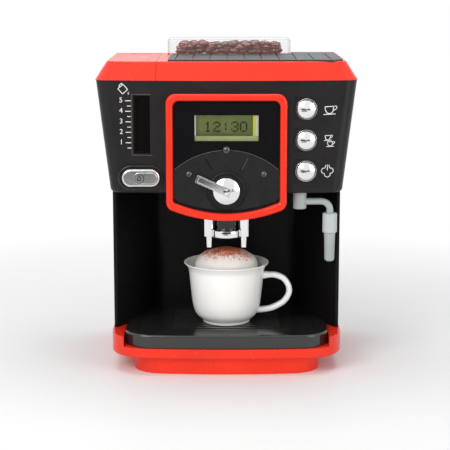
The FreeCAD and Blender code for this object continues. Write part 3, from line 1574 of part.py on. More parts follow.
def hose(name, points, bend):
    """A hose through square corners, each rounded by one arc."""
    spots = [FreeCAD.Vector(*[mm(value) for value in point]) for point in points]
    runs = []
    start = spots[0]
    for before, corner, after in zip(spots, spots[1:], spots[2:]):
        inward = (before - corner).normalize()
        outward = (after - corner).normalize()
        first = corner + inward * bend
        last = corner + outward * bend
        centre = corner + (inward + outward) * bend
        middle = centre - (inward + outward).normalize() * bend
        runs.append(Part.LineSegment(start, first).toShape())
        runs.append(Part.Arc(first, middle, last).toShape())
        start = last
    runs.append(Part.LineSegment(start, spots[-1]).toShape())
    path = Part.Wire(runs)
    heading = (spots[1] - spots[0]).normalize()
    rings = []
    for radius in (mm("hose_radius"), mm("hose_bore")):
        rings.append(Part.Wire(Part.Circle(spots[0], heading, radius).toShape()))
    outer = path.makePipeShell([rings[0]], True, False)
    bore = path.makePipeShell([rings[1]], True, False)
    return set_shape(name, outer.cut(bore))


def hoses():
    pump_top = "base_height + pump_foot + pump_length + 6"
    hose("suction_hose", [("-pump_x", PUMP_Y, pump_top), ("-pump_x", PUMP_Y, TANK_LOW)], 1.0)
    riser = "-pump_x + pump_radius + hose_offset"
    outlet = "base_height + pump_foot + 16"
    run = HEAD_LOW + " + hose_rise"
    hose("outlet_hose", [
        ("-pump_x + pump_radius", PUMP_Y, outlet),
        (riser, PUMP_Y, outlet),
        (riser, PUMP_Y, run),
        (riser, SPOUT_Y, run),
        ("0", SPOUT_Y, run),
        ("0", SPOUT_Y, HEAD_LOW + " + wall"),
    ], mm("hose_bend"))


def cut_floor_holes():
    """Ways through the head's floor for the two hoses."""
    body = doc.getObject("head_floor_body")
    pocket(body, "XY_Plane", HEAD_LOW, HEAD_LOW + " + wall", [
        ("-pump_x", PUMP_Y, "hose_radius + slide_gap"),
        ("-pump_x + pump_radius + hose_offset", PUMP_Y, "hose_radius + slide_gap"),
    ])


def speaker():
    """Cone loudspeaker on the rear panel."""
    body = moulding("speaker")
    turned(body, "XY_Plane", [[
        ("0", "-4"),
        ("0", "-speaker_depth"),
        ("speaker_radius / 2", "-speaker_depth"),
        ("speaker_radius / 2", "-speaker_depth + 6"),
        ("speaker_radius - 2", "-speaker_rim"),
        ("speaker_radius", "-speaker_rim"),
        ("speaker_radius", "0"),
        ("speaker_radius - speaker_rim", "0"),
        ("speaker_radius / 2 - 2", "-5"),
        ("3", "-5"),
    ]])
    place(body, "0", SHELL_BACK, "speaker_up + base_height")


def main_board():
    """Sound and pump board on the base, beside the speaker."""
    low = "base_height"
    piece(block(("34", "92"), (BAY_END + " + wall + 16", BAY_END + " + wall + 16 + board_thick"),
                (low, low + " + 62")), "main_board")


def build():
    fill_sheet()
    base_shell()
    base_plate()
    battery_door()
    batteries()
    battery_contacts()
    body_housing()
    back_cover()
    housing_screws()
    screw_bosses()
    head_shell()
    button_panel()
    push_buttons()
    button_rims()
    button_board()
    head_floor()
    cut_floor_holes()
    frame_ring()
    faceplate()
    display()
    dial_plate()
    dial_ring()
    indicator_lamps()
    selector_knob()
    knob_shaft()
    control_board()
    gauge_window()
    water_tank()
    tank_rails()
    switch_bezel()
    pour_switch()
    top_cover()
    tank_lid()
    lid_hinge_pin()
    warmer_tray()
    bean_hopper()
    coffee_beans()
    brew_head()
    spout_body()
    spout_nozzles()
    wand_hub()
    wand_arm()
    wand_sleeve()
    wand_tip()
    drip_tray()
    drip_grille()
    cup()
    foam_insert()
    water_pump()
    hoses()
    speaker()
    main_board()


def check_and_write():
    """Every object sound, every sub-part a valid shape; then one file each."""
    doc.recompute()
    for thing in doc.Objects:
        if "Invalid" in thing.State or "Error" in thing.State:
            raise RuntimeError("%s is %s" % (thing.Label, thing.State))
    for thing in pieces:
        if thing.Shape.isNull() or not thing.Shape.isValid() or not thing.Shape.Solids:
            raise RuntimeError("%s has no valid solid" % thing.Label)
    os.makedirs("parts", exist_ok=True)
    for thing in pieces:
        thing.Shape.exportStep("parts/%s.step" % thing.Label)
        print("%-18s %2d solids %10.1f mm3" % (thing.Label, len(thing.Shape.Solids), thing.Shape.Volume))


build()
check_and_write()
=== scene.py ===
import math
import random

import bmesh
import bpy
from mathutils import Matrix, Vector, noise
from mathutils.bvhtree import BVHTree


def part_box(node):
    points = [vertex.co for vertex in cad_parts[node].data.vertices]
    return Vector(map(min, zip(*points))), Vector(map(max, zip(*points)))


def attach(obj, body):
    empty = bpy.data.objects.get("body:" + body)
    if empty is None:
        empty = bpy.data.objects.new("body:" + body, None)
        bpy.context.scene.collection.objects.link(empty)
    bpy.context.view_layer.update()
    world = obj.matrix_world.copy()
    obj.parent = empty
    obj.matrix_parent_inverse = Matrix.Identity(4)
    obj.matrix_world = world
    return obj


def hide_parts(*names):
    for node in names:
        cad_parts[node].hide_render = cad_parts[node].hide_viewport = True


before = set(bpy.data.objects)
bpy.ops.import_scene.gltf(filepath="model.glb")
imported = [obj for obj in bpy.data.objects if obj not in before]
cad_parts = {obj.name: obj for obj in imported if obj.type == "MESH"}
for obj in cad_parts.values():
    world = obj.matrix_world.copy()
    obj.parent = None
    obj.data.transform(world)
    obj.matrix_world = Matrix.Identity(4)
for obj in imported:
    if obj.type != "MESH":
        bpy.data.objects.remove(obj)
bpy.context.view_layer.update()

# Red base: one glossy moulding whose bowed lip stands over a narrower plinth. It carries the
# whole machine and seats the drip tray. Satin-polished ABS: a faint orange peel, edges just
# broken, and the colour drifts a little with the thickness of the wall.
RED = (0.80, 0.030, 0.010)


def blank_material(name):
    """A new material with its shader, and object coordinates to build on."""
    material = bpy.data.materials.new(name)
    material.use_nodes = True
    nodes, links = material.node_tree.nodes, material.node_tree.links
    return material, nodes, links, nodes["Principled BSDF"], nodes.new("ShaderNodeTexCoord")


def noise_of(nodes, links, coordinates, scale, detail, rough=0.5):
    """Noise over the object's own coordinates."""
    texture = nodes.new("ShaderNodeTexNoise")
    texture.inputs["Scale"].default_value = scale
    texture.inputs["Detail"].default_value = detail
    texture.inputs["Roughness"].default_value = rough
    links.new(coordinates.outputs["Object"], texture.inputs["Vector"])
    return texture.outputs["Fac"]


def spread(nodes, links, value, low, high, start=0.3, stop=0.7):
    """A value brought from its own range to a new one."""
    ramp = nodes.new("ShaderNodeMapRange")
    ramp.inputs["From Min"].default_value = start
    ramp.inputs["From Max"].default_value = stop
    ramp.inputs["To Min"].default_value = low
    ramp.inputs["To Max"].default_value = high
    links.new(value, ramp.inputs["Value"])
    return ramp.outputs["Result"]


def two_tone(nodes, links, value, dark, light):
    """A colour between two, by a value from nought to one."""
    mix = nodes.new("ShaderNodeMix")
    mix.data_type = "RGBA"
    mix.inputs["A"].default_value = (*dark, 1)
    mix.inputs["B"].default_value = (*light, 1)
    links.new(value, mix.inputs["Factor"])
    return mix.outputs["Result"]


def eased_edges(nodes, links, shader, height, relief, distance, edge):
    """Bump from a height, over edges that the mould leaves a little round."""
    rounding = nodes.new("ShaderNodeBevel")
    rounding.samples = 4
    rounding.inputs["Radius"].default_value = edge
    bump = nodes.new("ShaderNodeBump")
    bump.inputs["Strength"].default_value = relief
    bump.inputs["Distance"].default_value = distance
    links.new(height, bump.inputs["Height"])
    links.new(rounding.outputs["Normal"], bump.inputs["Normal"])
    links.new(bump.outputs["Normal"], shader.inputs["Normal"])


def moulded(name, colour, roughness, grain=900, relief=0.12, edge=0.0006, drift=0.12, shine=0.5):
    """Injection-moulded plastic: slow colour drift, scuffed gloss and the mould's own grain."""
    material, nodes, links, shader, place = blank_material(name)
    shader.inputs["Specular IOR Level"].default_value = shine
    slow = noise_of(nodes, links, place, 22, 2)
    dark = [part * (1 - drift) for part in colour]
    light = [min(1.0, part * (1 + drift)) for part in colour]
    tint = two_tone(nodes, links, spread(nodes, links, slow, 0, 1), dark, light)
    links.new(tint, shader.inputs["Base Color"])
    scuffs = noise_of(nodes, links, place, 160, 5)
    links.new(spread(nodes, links, scuffs, roughness * 0.82, roughness * 1.22), shader.inputs["Roughness"])
    eased_edges(nodes, links, shader, noise_of(nodes, links, place, grain, 2), relief, 0.0002, edge)
    return material


def finish_node(node, material):
    """Give a moulding of the frame its real surface."""
    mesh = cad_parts[node].data
    mesh.materials.clear()
    mesh.materials.append(material)


red_plastic = moulded("red_gloss_moulding", RED, 0.24, grain=420, relief=0.025, drift=0.05, shine=0.3)
finish_node("base_shell", red_plastic)

# Underside: a black cover plate with the cell box moulded on, and a door over the four cells.
# Coarse spark-eroded texture, because nobody sees it and it hides scratches.
underside = moulded("underside_moulding", (0.022, 0.021, 0.022), 0.62, grain=1500, relief=0.35)
finish_node("base_plate", underside)
finish_node("battery_door", moulded("door_moulding", (0.026, 0.025, 0.026), 0.55, grain=1300, relief=0.3))


def banded(name, axis, bands, roughness):
    """Rings of flat colour along one axis: each band is (where it starts in metres, colour)."""
    material, nodes, links, shader, place = blank_material(name)
    parts = nodes.new("ShaderNodeSeparateXYZ")
    links.new(place.outputs["Object"], parts.inputs["Vector"])
    low, high = bands[0][0], bands[-1][0]
    ramp = nodes.new("ShaderNodeValToRGB")
    ramp.color_ramp.interpolation = "CONSTANT"
    stops = ramp.color_ramp.elements
    while len(stops) < len(bands):
        stops.new(0.5)
    for stop, (start, colour) in zip(stops, bands):
        stop.position = (start - low) / (high - low)
        stop.color = (*colour, 1)
    links.new(spread(nodes, links, parts.outputs[axis], 0, 1, low, high), ramp.inputs["Fac"])
    links.new(ramp.outputs["Color"], shader.inputs["Base Color"])
    scuffs = noise_of(nodes, links, place, 300, 4)
    links.new(spread(nodes, links, scuffs, roughness * 0.8, roughness * 1.3), shader.inputs["Roughness"])
    eased_edges(nodes, links, shader, scuffs, 0.08, 0.0002, 0.0003)
    return material


cell_low, cell_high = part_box("batteries")
sleeve = banded("cell_sleeve", "Y", [
    (cell_low.y, (0.55, 0.55, 0.53)),
    (cell_low.y + 0.003, (0.04, 0.09, 0.12)),
    (cell_high.y - 0.014, (0.62, 0.30, 0.10)),
    (cell_high.y - 0.003, (0.55, 0.55, 0.53)),
], 0.3)
finish_node("batteries", sleeve)


def metal(name, colour, roughness, grain, relief=0.1, edge=0.0003):
    """Bare or plated metal: grain drawn out along one axis where it was drawn or turned."""
    material, nodes, links, shader, place = blank_material(name)
    shader.inputs["Metallic"].default_value = 1
    stretch = nodes.new("ShaderNodeMapping")
    stretch.inputs["Scale"].default_value = grain
    links.new(place.outputs["Object"], stretch.inputs["Vector"])
    texture = nodes.new("ShaderNodeTexNoise")
    texture.inputs["Scale"].default_value = 1
    texture.inputs["Detail"].default_value = 4
    links.new(stretch.outputs["Vector"], texture.inputs["Vector"])
    fine = texture.outputs["Fac"]
    dark = [part * 0.88 for part in colour]
    tint = two_tone(nodes, links, spread(nodes, links, fine, 0, 1), dark, colour)
    links.new(tint, shader.inputs["Base Color"])
    links.new(spread(nodes, links, fine, roughness * 0.75, roughness * 1.35), shader.inputs["Roughness"])
    eased_edges(nodes, links, shader, fine, relief, 0.0001, edge)
    return material


spring_steel = metal("spring_steel", (0.62, 0.62, 0.60), 0.28, grain=(2500, 2500, 200))
finish_node("battery_contacts", spring_steel)

# Black body: outer walls and the tapering walls of the cup bay are one moulding, closed by a
# rear panel on six screws. Fine matte spark texture that drinks the light.
BODY_BLACK = (0.0050, 0.0042, 0.0045)
body_plastic = moulded("body_moulding", BODY_BLACK, 0.44, grain=1400, relief=0.18, drift=0.2, shine=0.14)
finish_node("body_housing", body_plastic)
finish_node("back_cover", moulded("rear_panel_moulding", (0.016, 0.015, 0.016), 0.52, grain=1400,
                                  relief=0.3))
finish_node("screw_bosses", underside)
finish_node("housing_screws", metal("zinc_screw", (0.50, 0.50, 0.48), 0.35, grain=(600, 3000, 600)))

# Charcoal head: a bowed shell with a separate button panel at its right. Satin ABS with an
# even, fine leathery grain, a shade lighter than the body below it.
CHARCOAL = (0.0160, 0.0146, 0.0144)
head_plastic = moulded("head_moulding", CHARCOAL, 0.34, grain=1100, relief=0.14, edge=0.0007, drift=0.08,
                       shine=0.17)
finish_node("head_shell", head_plastic)
finish_node("button_panel", moulded("button_panel_moulding", CHARCOAL, 0.32, grain=1100, relief=0.14,
                                    edge=0.0007, shine=0.19))
finish_node("head_floor", moulded("head_floor_moulding", BODY_BLACK, 0.5, grain=1400, relief=0.2))

# Red frame round the front plate: the same gloss plastic as the covers, clipped into the head.
# The plate inside it is black and polished like a mirror.
finish_node("frame_ring", moulded("red_frame_moulding", RED, 0.17, grain=420, relief=0.02, drift=0.04,
                                  shine=0.3))
finish_node("faceplate", moulded("front_plate_moulding", (0.0065, 0.006, 0.0068), 0.14, grain=260,
                                 relief=0.025, shine=0.16))

# Display: a green panel with rows of square cells behind a clear window. A few cells are dark
# and make plain figures. Their pitch and their rise over the middle are counted in cells.
CELL = 0.00130
CELL_DARK = CELL * 0.96
FIGURE_THICK, FIGURE_STANDS = 0.0001, 0.00006
FIGURE_PITCH, FIGURE_RISE = 6, 4.4
LCD_GREEN = (0.205, 0.262, 0.048)
FIGURES = {
    "0": "01110 10001 10001 10001 10001 10001 01110",
    "1": "00100 01100 00100 00100 00100 00100 01110",
    "2": "01110 10001 00001 00110 01000 10000 11111",
    "3": "01110 10001 00001 00110 00001 10001 01110",
    ":": "00000 00100 00100 00000 00100 00100 00000",
}
lcd_low, lcd_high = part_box("lcd_module")


def upright_bricks(nodes, links, coordinates):
    """A brick pattern that lies in the XZ plane."""
    turned = nodes.new("ShaderNodeVectorRotate")
    turned.rotation_type = "X_AXIS"
    turned.inputs["Angle"].default_value = -math.pi / 2
    links.new(coordinates, turned.inputs["Vector"])
    bricks = nodes.new("ShaderNodeTexBrick")
    links.new(turned.outputs["Vector"], bricks.inputs["Vector"])
    return bricks


def lcd_material():
    """Square green cells, with slightly brighter lines between them."""
    material, nodes, links, shader, place = blank_material("display_panel")
    in_cells = nodes.new("ShaderNodeMapping")
    in_cells.inputs["Scale"].default_value = (1 / CELL, 1 / CELL, 1 / CELL)
    links.new(place.outputs["Object"], in_cells.inputs["Vector"])
    cells = upright_bricks(nodes, links, in_cells.outputs["Vector"])
    cells.offset = 0
    cells.inputs["Scale"].default_value = 1
    cells.inputs["Brick Width"].default_value = 1
    cells.inputs["Row Height"].default_value = 1
    cells.inputs["Mortar Size"].default_value = 0.06
    red, green, blue = LCD_GREEN
    cells.inputs["Color1"].default_value = (red, green, blue, 1)
    cells.inputs["Color2"].default_value = (red * 0.96, green * 0.97, blue, 1)
    cells.inputs["Mortar"].default_value = (red * 1.15, green * 1.12, blue * 1.4, 1)
    links.new(cells.outputs["Color"], shader.inputs["Base Color"])
    shader.inputs["Roughness"].default_value = 0.45
    return material


finish_node("lcd_module", lcd_material())


def clear(name, tint, haze, veil, rim, shine=0.9):
    """Clear plastic: nearly nothing seen square on, a bright skin where it is seen aslant."""
    material, nodes, links, shader, place = blank_material(name)
    shader.inputs["Base Color"].default_value = (*tint, 1)
    shader.inputs["Specular IOR Level"].default_value = shine
    streaks = noise_of(nodes, links, place, 90, 4)
    links.new(spread(nodes, links, streaks, haze * 0.6, haze * 1.6), shader.inputs["Roughness"])
    skin = nodes.new("ShaderNodeLayerWeight")
    skin.inputs["Blend"].default_value = 0.25
    links.new(spread(nodes, links, skin.outputs["Fresnel"], veil, rim, 0.0, 1.0), shader.inputs["Alpha"])
    eased_edges(nodes, links, shader, streaks, 0.03, 0.0002, 0.0005)
    material.surface_render_method = "BLENDED"
    return material


finish_node("lcd_window", clear("display_window", (0.5, 0.52, 0.4), 0.04, 0.02, 0.3, 0.12))


def in_scene(name, data):
    thing = bpy.data.objects.new(name, data)
    bpy.context.collection.objects.link(thing)
    return thing


def new_piece(name, mesh, material, body):
    """Turn a bmesh into a piece that rides on one of the machine's bodies."""
    data = bpy.data.meshes.new(name)
    mesh.to_mesh(data)
    mesh.free()
    data.materials.append(material)
    thing = in_scene(name, data)
    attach(thing, body)
    return thing


def thin_box(mesh, middle, wide, thick, tall):
    size = Matrix.Diagonal((wide, thick, tall, 1))
    bmesh.ops.create_cube(mesh, size=1, matrix=Matrix.Translation(middle) @ size)


def lcd_figures(text):
    """Dark cells just in front of the panel, one small flat box each."""
    mesh = bmesh.new()
    pitch = FIGURE_PITCH * CELL
    left = (lcd_low.x + lcd_high.x) / 2 - pitch * len(text) / 2
    top = (lcd_low.z + lcd_high.z) / 2 + FIGURE_RISE * CELL
    for place, sign in enumerate(text):
        for row, cells in enumerate(FIGURES[sign].split()):
            for column, cell in enumerate(cells):
                if cell == "1":
                    spot = (left + place * pitch + (column + 0.5) * CELL, lcd_low.y - FIGURE_STANDS,
                            top - (row + 0.5) * CELL)
                    thin_box(mesh, spot, CELL_DARK, FIGURE_THICK, CELL_DARK)
    ink = moulded("display_figures", (0.004, 0.007, 0.002), 0.6, relief=0.02, edge=0.00005, shine=0.1)
    new_piece("display_figures", mesh, ink, "machine")


lcd_figures("12:30")
EDGE_THICK, EDGE_STANDS = 0.00012, 0.00008
lip_top = lcd_low.z + 0.0044
left_stop = lcd_low.x + 0.0013
inner_start, right_start = lcd_high.x - 0.0050, lcd_high.x - 0.0024


def painted_display_highlight(name, left, right, low, high, colour):
    """A painted highlight: one pale strip along an edge of the display, standing for the light that gathers
    in the rim of its window.
    """
    mesh = bmesh.new()
    middle = ((left + right) / 2, lcd_low.y - EDGE_STANDS, (low + high) / 2)
    thin_box(mesh, middle, right - left, EDGE_THICK, high - low)
    rim_highlight_paint = moulded(name, colour, 0.3, relief=0.03, edge=0.00005)
    new_piece(name, mesh, rim_highlight_paint, "machine")


# Painted highlights along the lower, left, inner and right edges of the display's window.
painted_display_highlight("display_lower_highlight", lcd_low.x, lcd_high.x, lcd_low.z, lip_top, (0.265, 0.305, 0.125))
painted_display_highlight("display_left_highlight", lcd_low.x, left_stop, lip_top, lcd_high.z, (0.60, 0.62, 0.52))
painted_display_highlight("display_inner_highlight", inner_start, right_start, lip_top, lcd_high.z, (0.40, 0.41, 0.045))
painted_display_highlight("display_right_highlight", right_start, lcd_high.x, lip_top, lcd_high.z, (0.52, 0.47, 0.36))

# Selector dial: a satin fan-shaped plate with three domed lamps, a black ring, and a plated
# knob whose lever points at one of the lamps. The knob's shaft runs back into a switch.
finish_node("dial_plate", moulded("dial_moulding", (0.0165, 0.0158, 0.0165), 0.30, grain=1300, relief=0.12,
                                  edge=0.0006, shine=0.2))
finish_node("dial_ring", moulded("dial_ring_moulding", (0.006, 0.006, 0.0065), 0.2, grain=600, relief=0.05))
LAMPS = [(-1, 0.0031), (0, 0.0037), (1, 0.0031)]
LAMP_APART, LAMP_ROOM, DOME_DEPTH = 0.0325, 0.012, 0.8


def all_smooth(mesh):
    for face in mesh.faces:
        face.smooth = True


def lamp_domes():
    """Three polished domes over the small lamps, the one in the middle a little larger."""
    seats = [vert.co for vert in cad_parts["indicator_lamps"].data.vertices]
    mesh = bmesh.new()
    for side, radius in LAMPS:
        near = [seat for seat in seats if abs(seat.x - side * LAMP_APART) < LAMP_ROOM]
        across = [seat.x for seat in near]
        upward = [seat.z for seat in near]
        middle = ((min(across) + max(across)) / 2, max(seat.y for seat in near),
                  (min(upward) + max(upward)) / 2)
        spot = Matrix.Translation(middle) @ Matrix.Diagonal((1, DOME_DEPTH, 1, 1))
        bmesh.ops.create_uvsphere(mesh, u_segments=40, v_segments=24, radius=radius, matrix=spot)
    all_smooth(mesh)
    lens = moulded("lamp_lens", (0.012, 0.012, 0.014), 0.04, grain=300, relief=0.01, edge=0.0, shine=1.0)
    domes = new_piece("lamp_domes", mesh, lens, "machine")
    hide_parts("indicator_lamps")


lamp_domes()
CHROME = (0.86, 0.86, 0.87)
knob_chrome = metal("chrome_plating", CHROME, 0.075, grain=(60, 60, 60), relief=0.02, edge=0.0007)
finish_node("selector_knob", knob_chrome)
finish_node("knob_shaft", moulded("shaft_moulding", (0.30, 0.30, 0.29), 0.45, grain=700))


def circuit_board():
    """Green board with lighter lines, where copper runs under the mask."""
    material, nodes, links, shader, place = blank_material("circuit_board")
    tracks = upright_bricks(nodes, links, place.outputs["Object"])
    tracks.inputs["Scale"].default_value = 260
    tracks.inputs["Mortar Size"].default_value = 0.06
    tracks.inputs["Color1"].default_value = (0.010, 0.085, 0.032, 1)
    tracks.inputs["Color2"].default_value = (0.014, 0.105, 0.040, 1)
    tracks.inputs["Mortar"].default_value = (0.030, 0.165, 0.060, 1)
    links.new(tracks.outputs["Color"], shader.inputs["Base Color"])
    scuffs = noise_of(nodes, links, place, 500, 3)
    links.new(spread(nodes, links, scuffs, 0.25, 0.45), shader.inputs["Roughness"])
    eased_edges(nodes, links, shader, tracks.outputs["Fac"], 0.2, 0.0001, 0.0002)
    return material


board = circuit_board()
finish_node("control_board", board)
finish_node("board_posts", underside)
finish_node("selector_switch", moulded("switch_case_moulding", (0.03, 0.03, 0.032), 0.4))

# Push buttons: three plated caps in plated rims, over small switches on an upright board.
button_chrome = metal("button_plating", CHROME, 0.11, grain=(45, 45, 45), relief=0.05, edge=0.0006)
for node in ("steam_button", "two_cup_button", "cup_button", "button_rims"):
    finish_node(node, button_chrome)
finish_node("button_board", board)
finish_node("tact_switches", moulded("tact_switch_moulding", (0.02, 0.02, 0.02), 0.4))

# Gauge: a smoked window over the tank, with a printed scale beside it. The ink is a thin,
# slightly raised layer that follows the bowed front of the head. Drawings are in millimetres.
MM = 0.001
INK_STANDS = 0.00006
FAR_FRONT = -0.2
UPRIGHT = Matrix.Rotation(math.pi / 2, 4, "X")
white_ink = moulded("white_ink", (0.72, 0.71, 0.69), 0.5, grain=2500, relief=0.1, edge=0.0, drift=0.06)
finish_node("gauge_window", moulded("smoked_window", (0.006, 0.0045, 0.0045), 0.12, grain=300,
                                    relief=0.02, shine=0.08))


def front_of(node):
    """The surface of a node, to lay prints on."""
    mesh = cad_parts[node].data
    mesh.calc_loop_triangles()
    return BVHTree.FromPolygons([tuple(vert.co) for vert in mesh.vertices],
                                [tuple(face.vertices) for face in mesh.loop_triangles])


def lay_on(mesh, surface):
    """Move a flat print, drawn in the XZ plane, until it lies on the front of a surface."""
    for vert in mesh.verts:
        start = Vector((vert.co.x, FAR_FRONT, vert.co.z))
        hit = surface.ray_cast(start, Vector((0, 1, 0)))[0]
        if hit:
            vert.co.y = hit.y - INK_STANDS


def arc(x, z, radius, first, last, steps):
    """Points along a round stretch, in millimetres, from one angle to another."""
    turns = [math.radians(first + (last - first) * step / steps) for step in range(steps + 1)]
    return [(x + radius * math.cos(turn), z + radius * math.sin(turn)) for turn in turns]


def stroke(mesh, points, width):
    """One printed line: short flat bars, joined by round dots at their ends."""
    for x, z in points:
        spot = Matrix.Translation((x * MM, 0, z * MM)) @ UPRIGHT
        bmesh.ops.create_circle(mesh, cap_ends=True, segments=10, radius=width / 2 * MM, matrix=spot)
    for (x, z), (to_x, to_z) in zip(points, points[1:]):
        length = math.hypot(to_x - x, to_z - z)
        turn = Matrix.Rotation(-math.atan2(to_z - z, to_x - x), 4, "Y")
        middle = Matrix.Translation(((x + to_x) / 2 * MM, 0, (z + to_z) / 2 * MM))
        size = Matrix.Diagonal((length * MM, width * MM, 1, 1))
        bmesh.ops.create_grid(mesh, x_segments=1, y_segments=1, size=0.5,
                              matrix=middle @ turn @ UPRIGHT @ size)


def print_strokes(name, strokes, node, body="machine", material=white_ink):
    """A line drawing on the front of a node. A stroke is (width, points), all in millimetres."""
    mesh = bmesh.new()
    for width, points in strokes:
        stroke(mesh, points, width)
    for face in mesh.faces:
        if face.normal.y > 0:
            face.normal_flip()
    lay_on(mesh, front_of(node))
    new_piece(name, mesh, material, body)


# Lines on the dial: its upper edge is a bow, given by its top, its rise and its reach to each
# side. A painted highlight and a painted shade line follow it, for the light and shadow on its raised edge,
# and a short line slants at either side: painted highlight at the right, painted shade at the left.
DIAL_TOP, DIAL_RISE, DIAL_REACH = 202.1, 18.0, 46.5
BOW = (DIAL_REACH ** 2 + DIAL_RISE ** 2) / (2 * DIAL_RISE)
SLANT = [(13.4, 184.9), (18.7, 194.6)]
# Painted highlight (light grey) and painted shade (near black) for the dial's raised edge.
painted_bead_highlight = moulded("dial_painted_highlight", (0.11, 0.108, 0.105), 0.3, grain=900, relief=0.05, edge=0.0)
painted_edge_shade = moulded("dial_painted_shade", (0.002, 0.002, 0.002), 0.5, grain=900, relief=0.05, edge=0.0, shine=0.1)


def along_bow(inset):
    """The dial's upper edge, drawn again so far inside it."""
    return arc(0, DIAL_TOP - BOW, BOW - inset, 49, 131, 48)


print_strokes("dial_painted_highlight", [(0.38, along_bow(0.45)), (0.34, SLANT)], "dial_plate",
              material=painted_bead_highlight)
print_strokes("dial_painted_shade", [(0.42, [(-x, z) for x, z in SLANT]), (0.36, along_bow(0.95))],
              "dial_plate", material=painted_edge_shade)

# Gauge again: painted highlights, pale lines at the left, the top and the foot of its recess where its rim
# catches the light, then the scale of figures with its ticks, and over them a tilted jug with a falling
# drop.
EDGE_LEFT, EDGE_LOW, EDGE_HIGH = -83.0, 197.2, 250.0
EDGE_FOOT, EDGE_WIDE = 196.6, 0.7
gauge_highlight_lines = [[(EDGE_LEFT, EDGE_LOW), (EDGE_LEFT, EDGE_HIGH), (-66.0, EDGE_HIGH)],
               [(EDGE_LEFT, EDGE_FOOT), (-65.2, EDGE_FOOT)]]
# Painted highlight: pale grey lines round the gauge's recess.
painted_rim_highlight = moulded("gauge_painted_highlight", (0.055, 0.052, 0.050), 0.4, grain=900, edge=0.0)
print_strokes("gauge_painted_highlight", [(EDGE_WIDE, line) for line in gauge_highlight_lines], "head_shell",
              material=painted_rim_highlight)
LEVELS = [("5", 244.8), ("4", 235.6), ("3", 226.3), ("2", 217.1), ("1", 207.9)]
LEVEL_X, LEVEL_TALL, FONT_SIZE = -92.3, 4.6, 1.38
TICKS, TICK_END, TICK_WIDE, TICK_DROP = 10, -83.9, 0.7, 0.4
TICK_LONG, TICK_SHORT = 4.4, 2.8


def figure(text, x, z, height):
    """A plain figure as a flat mesh, centred on a spot in millimetres."""
    curve = bpy.data.curves.new("figure", "FONT")
    curve.body = text
    curve.size = height * MM * FONT_SIZE
    curve.align_x = "CENTER"
    curve.align_y = "CENTER"
    curve.resolution_u = 4
    holder = in_scene("figure", curve)
    bpy.context.view_layer.update()
    data = bpy.data.meshes.new_from_object(holder.evaluated_get(bpy.context.evaluated_depsgraph_get()))
    bpy.data.objects.remove(holder)
    data.transform(Matrix.Translation((x * MM, 0, z * MM)) @ UPRIGHT)
    return data


def gauge_scale():
    """Figures down the scale, a long tick beside each, and short ones between and below."""
    mesh = bmesh.new()
    for text, z in LEVELS:
        data = figure(text, LEVEL_X, z, LEVEL_TALL)
        mesh.from_mesh(data)
        bpy.data.meshes.remove(data)
    step = (LEVELS[0][1] - LEVELS[-1][1]) / (2 * (len(LEVELS) - 1))
    for number in range(TICKS):
        z = LEVELS[0][1] - TICK_DROP - number * step
        reach = TICK_LONG if number % 2 == 0 else TICK_SHORT
        stroke(mesh, [(TICK_END - reach, z), (TICK_END, z)], TICK_WIDE)
    lay_on(mesh, front_of("head_shell"))
    new_piece("gauge_scale", mesh, white_ink, "machine")


gauge_scale()
JUG_AT, JUG_TURN = (-90.5, 254.5), 42
jug = [
    [(-3.0, -3.0), (3.0, -3.0), (3.0, 3.0), (-3.0, 3.0), (-3.0, -3.0)],
    [(-0.6, 3.0), (-0.6, 4.5), (2.6, 4.5), (2.6, 3.0)],
]
falling_drop = [(1.0, [(-85.7, 250.2), (-85.6, 251.2)]), (0.5, [(-85.6, 251.2), (-85.5, 252.0)])]


def tilted(points, x, z, degrees):
    """A little drawing turned and moved onto its place."""
    turn = math.radians(degrees)
    return [(x + (px * math.cos(turn) - pz * math.sin(turn)),
             z + (px * math.sin(turn) + pz * math.cos(turn))) for px, pz in points]


jug_lines = [(0.65, tilted(line, *JUG_AT, JUG_TURN)) for line in jug]
print_strokes("jug_mark", jug_lines + falling_drop, "head_shell")

# Pour switch: a long plated key in a polished black surround, marked with a drop in a ring.
finish_node("switch_bezel", moulded("switch_surround_moulding", (0.008, 0.0075, 0.0085), 0.13, relief=0.03))
key_plating = metal("switch_plating", (0.80, 0.80, 0.80), 0.16, grain=(45, 45, 45), relief=0.05)
finish_node("pour_switch", key_plating)
dark_ink = moulded("dark_ink", (0.035, 0.034, 0.034), 0.5, grain=2500, relief=0.08, edge=0.0)
KEY_X, DROP_Z, DROP_SIZE = -76.8, 176.6, 0.95
RING_Z, RING_RADIUS = 176.7, 4.3
drop = [(0, 2.6), (-1.3, 0.4)] + arc(0, -0.5, 1.55, 150, 390, 14) + [(1.3, 0.4), (0, 2.6)]
print_strokes("drop_mark", [
    (0.75, [(x * DROP_SIZE + KEY_X, z * DROP_SIZE + DROP_Z) for x, z in drop]),
    (0.65, arc(KEY_X, RING_Z, RING_RADIUS, 0, 360, 32)),
], "pour_switch", "pour_switch", dark_ink)

# Marks beside the buttons: one cup, two cups, and a cloud with plumes for the froth, printed
# as thin white lines.
CLOUD_X, CLOUD_Z = 88.9, 182.3


def cup_lines(x, z, size, width):
    """Side view of a cup on its saucer."""
    bowl = [(-3.9, 2.9), (3.7, 3.3), (3.4, -0.2), (2.3, -2.3), (0.9, -3.0), (-0.9, -3.0),
            (-2.4, -2.2), (-3.5, 0.2), (-3.9, 2.9)]
    ear = [(3.7, 2.8), (5.6, 3.7), (6.7, 3.0), (6.2, 1.2), (3.5, -0.5)]
    saucer = [(-4.9, -3.8), (5.2, -3.4)]
    return [(width, [(x + px * size, z + pz * size) for px, pz in line]) for line in (bowl, ear, saucer)]


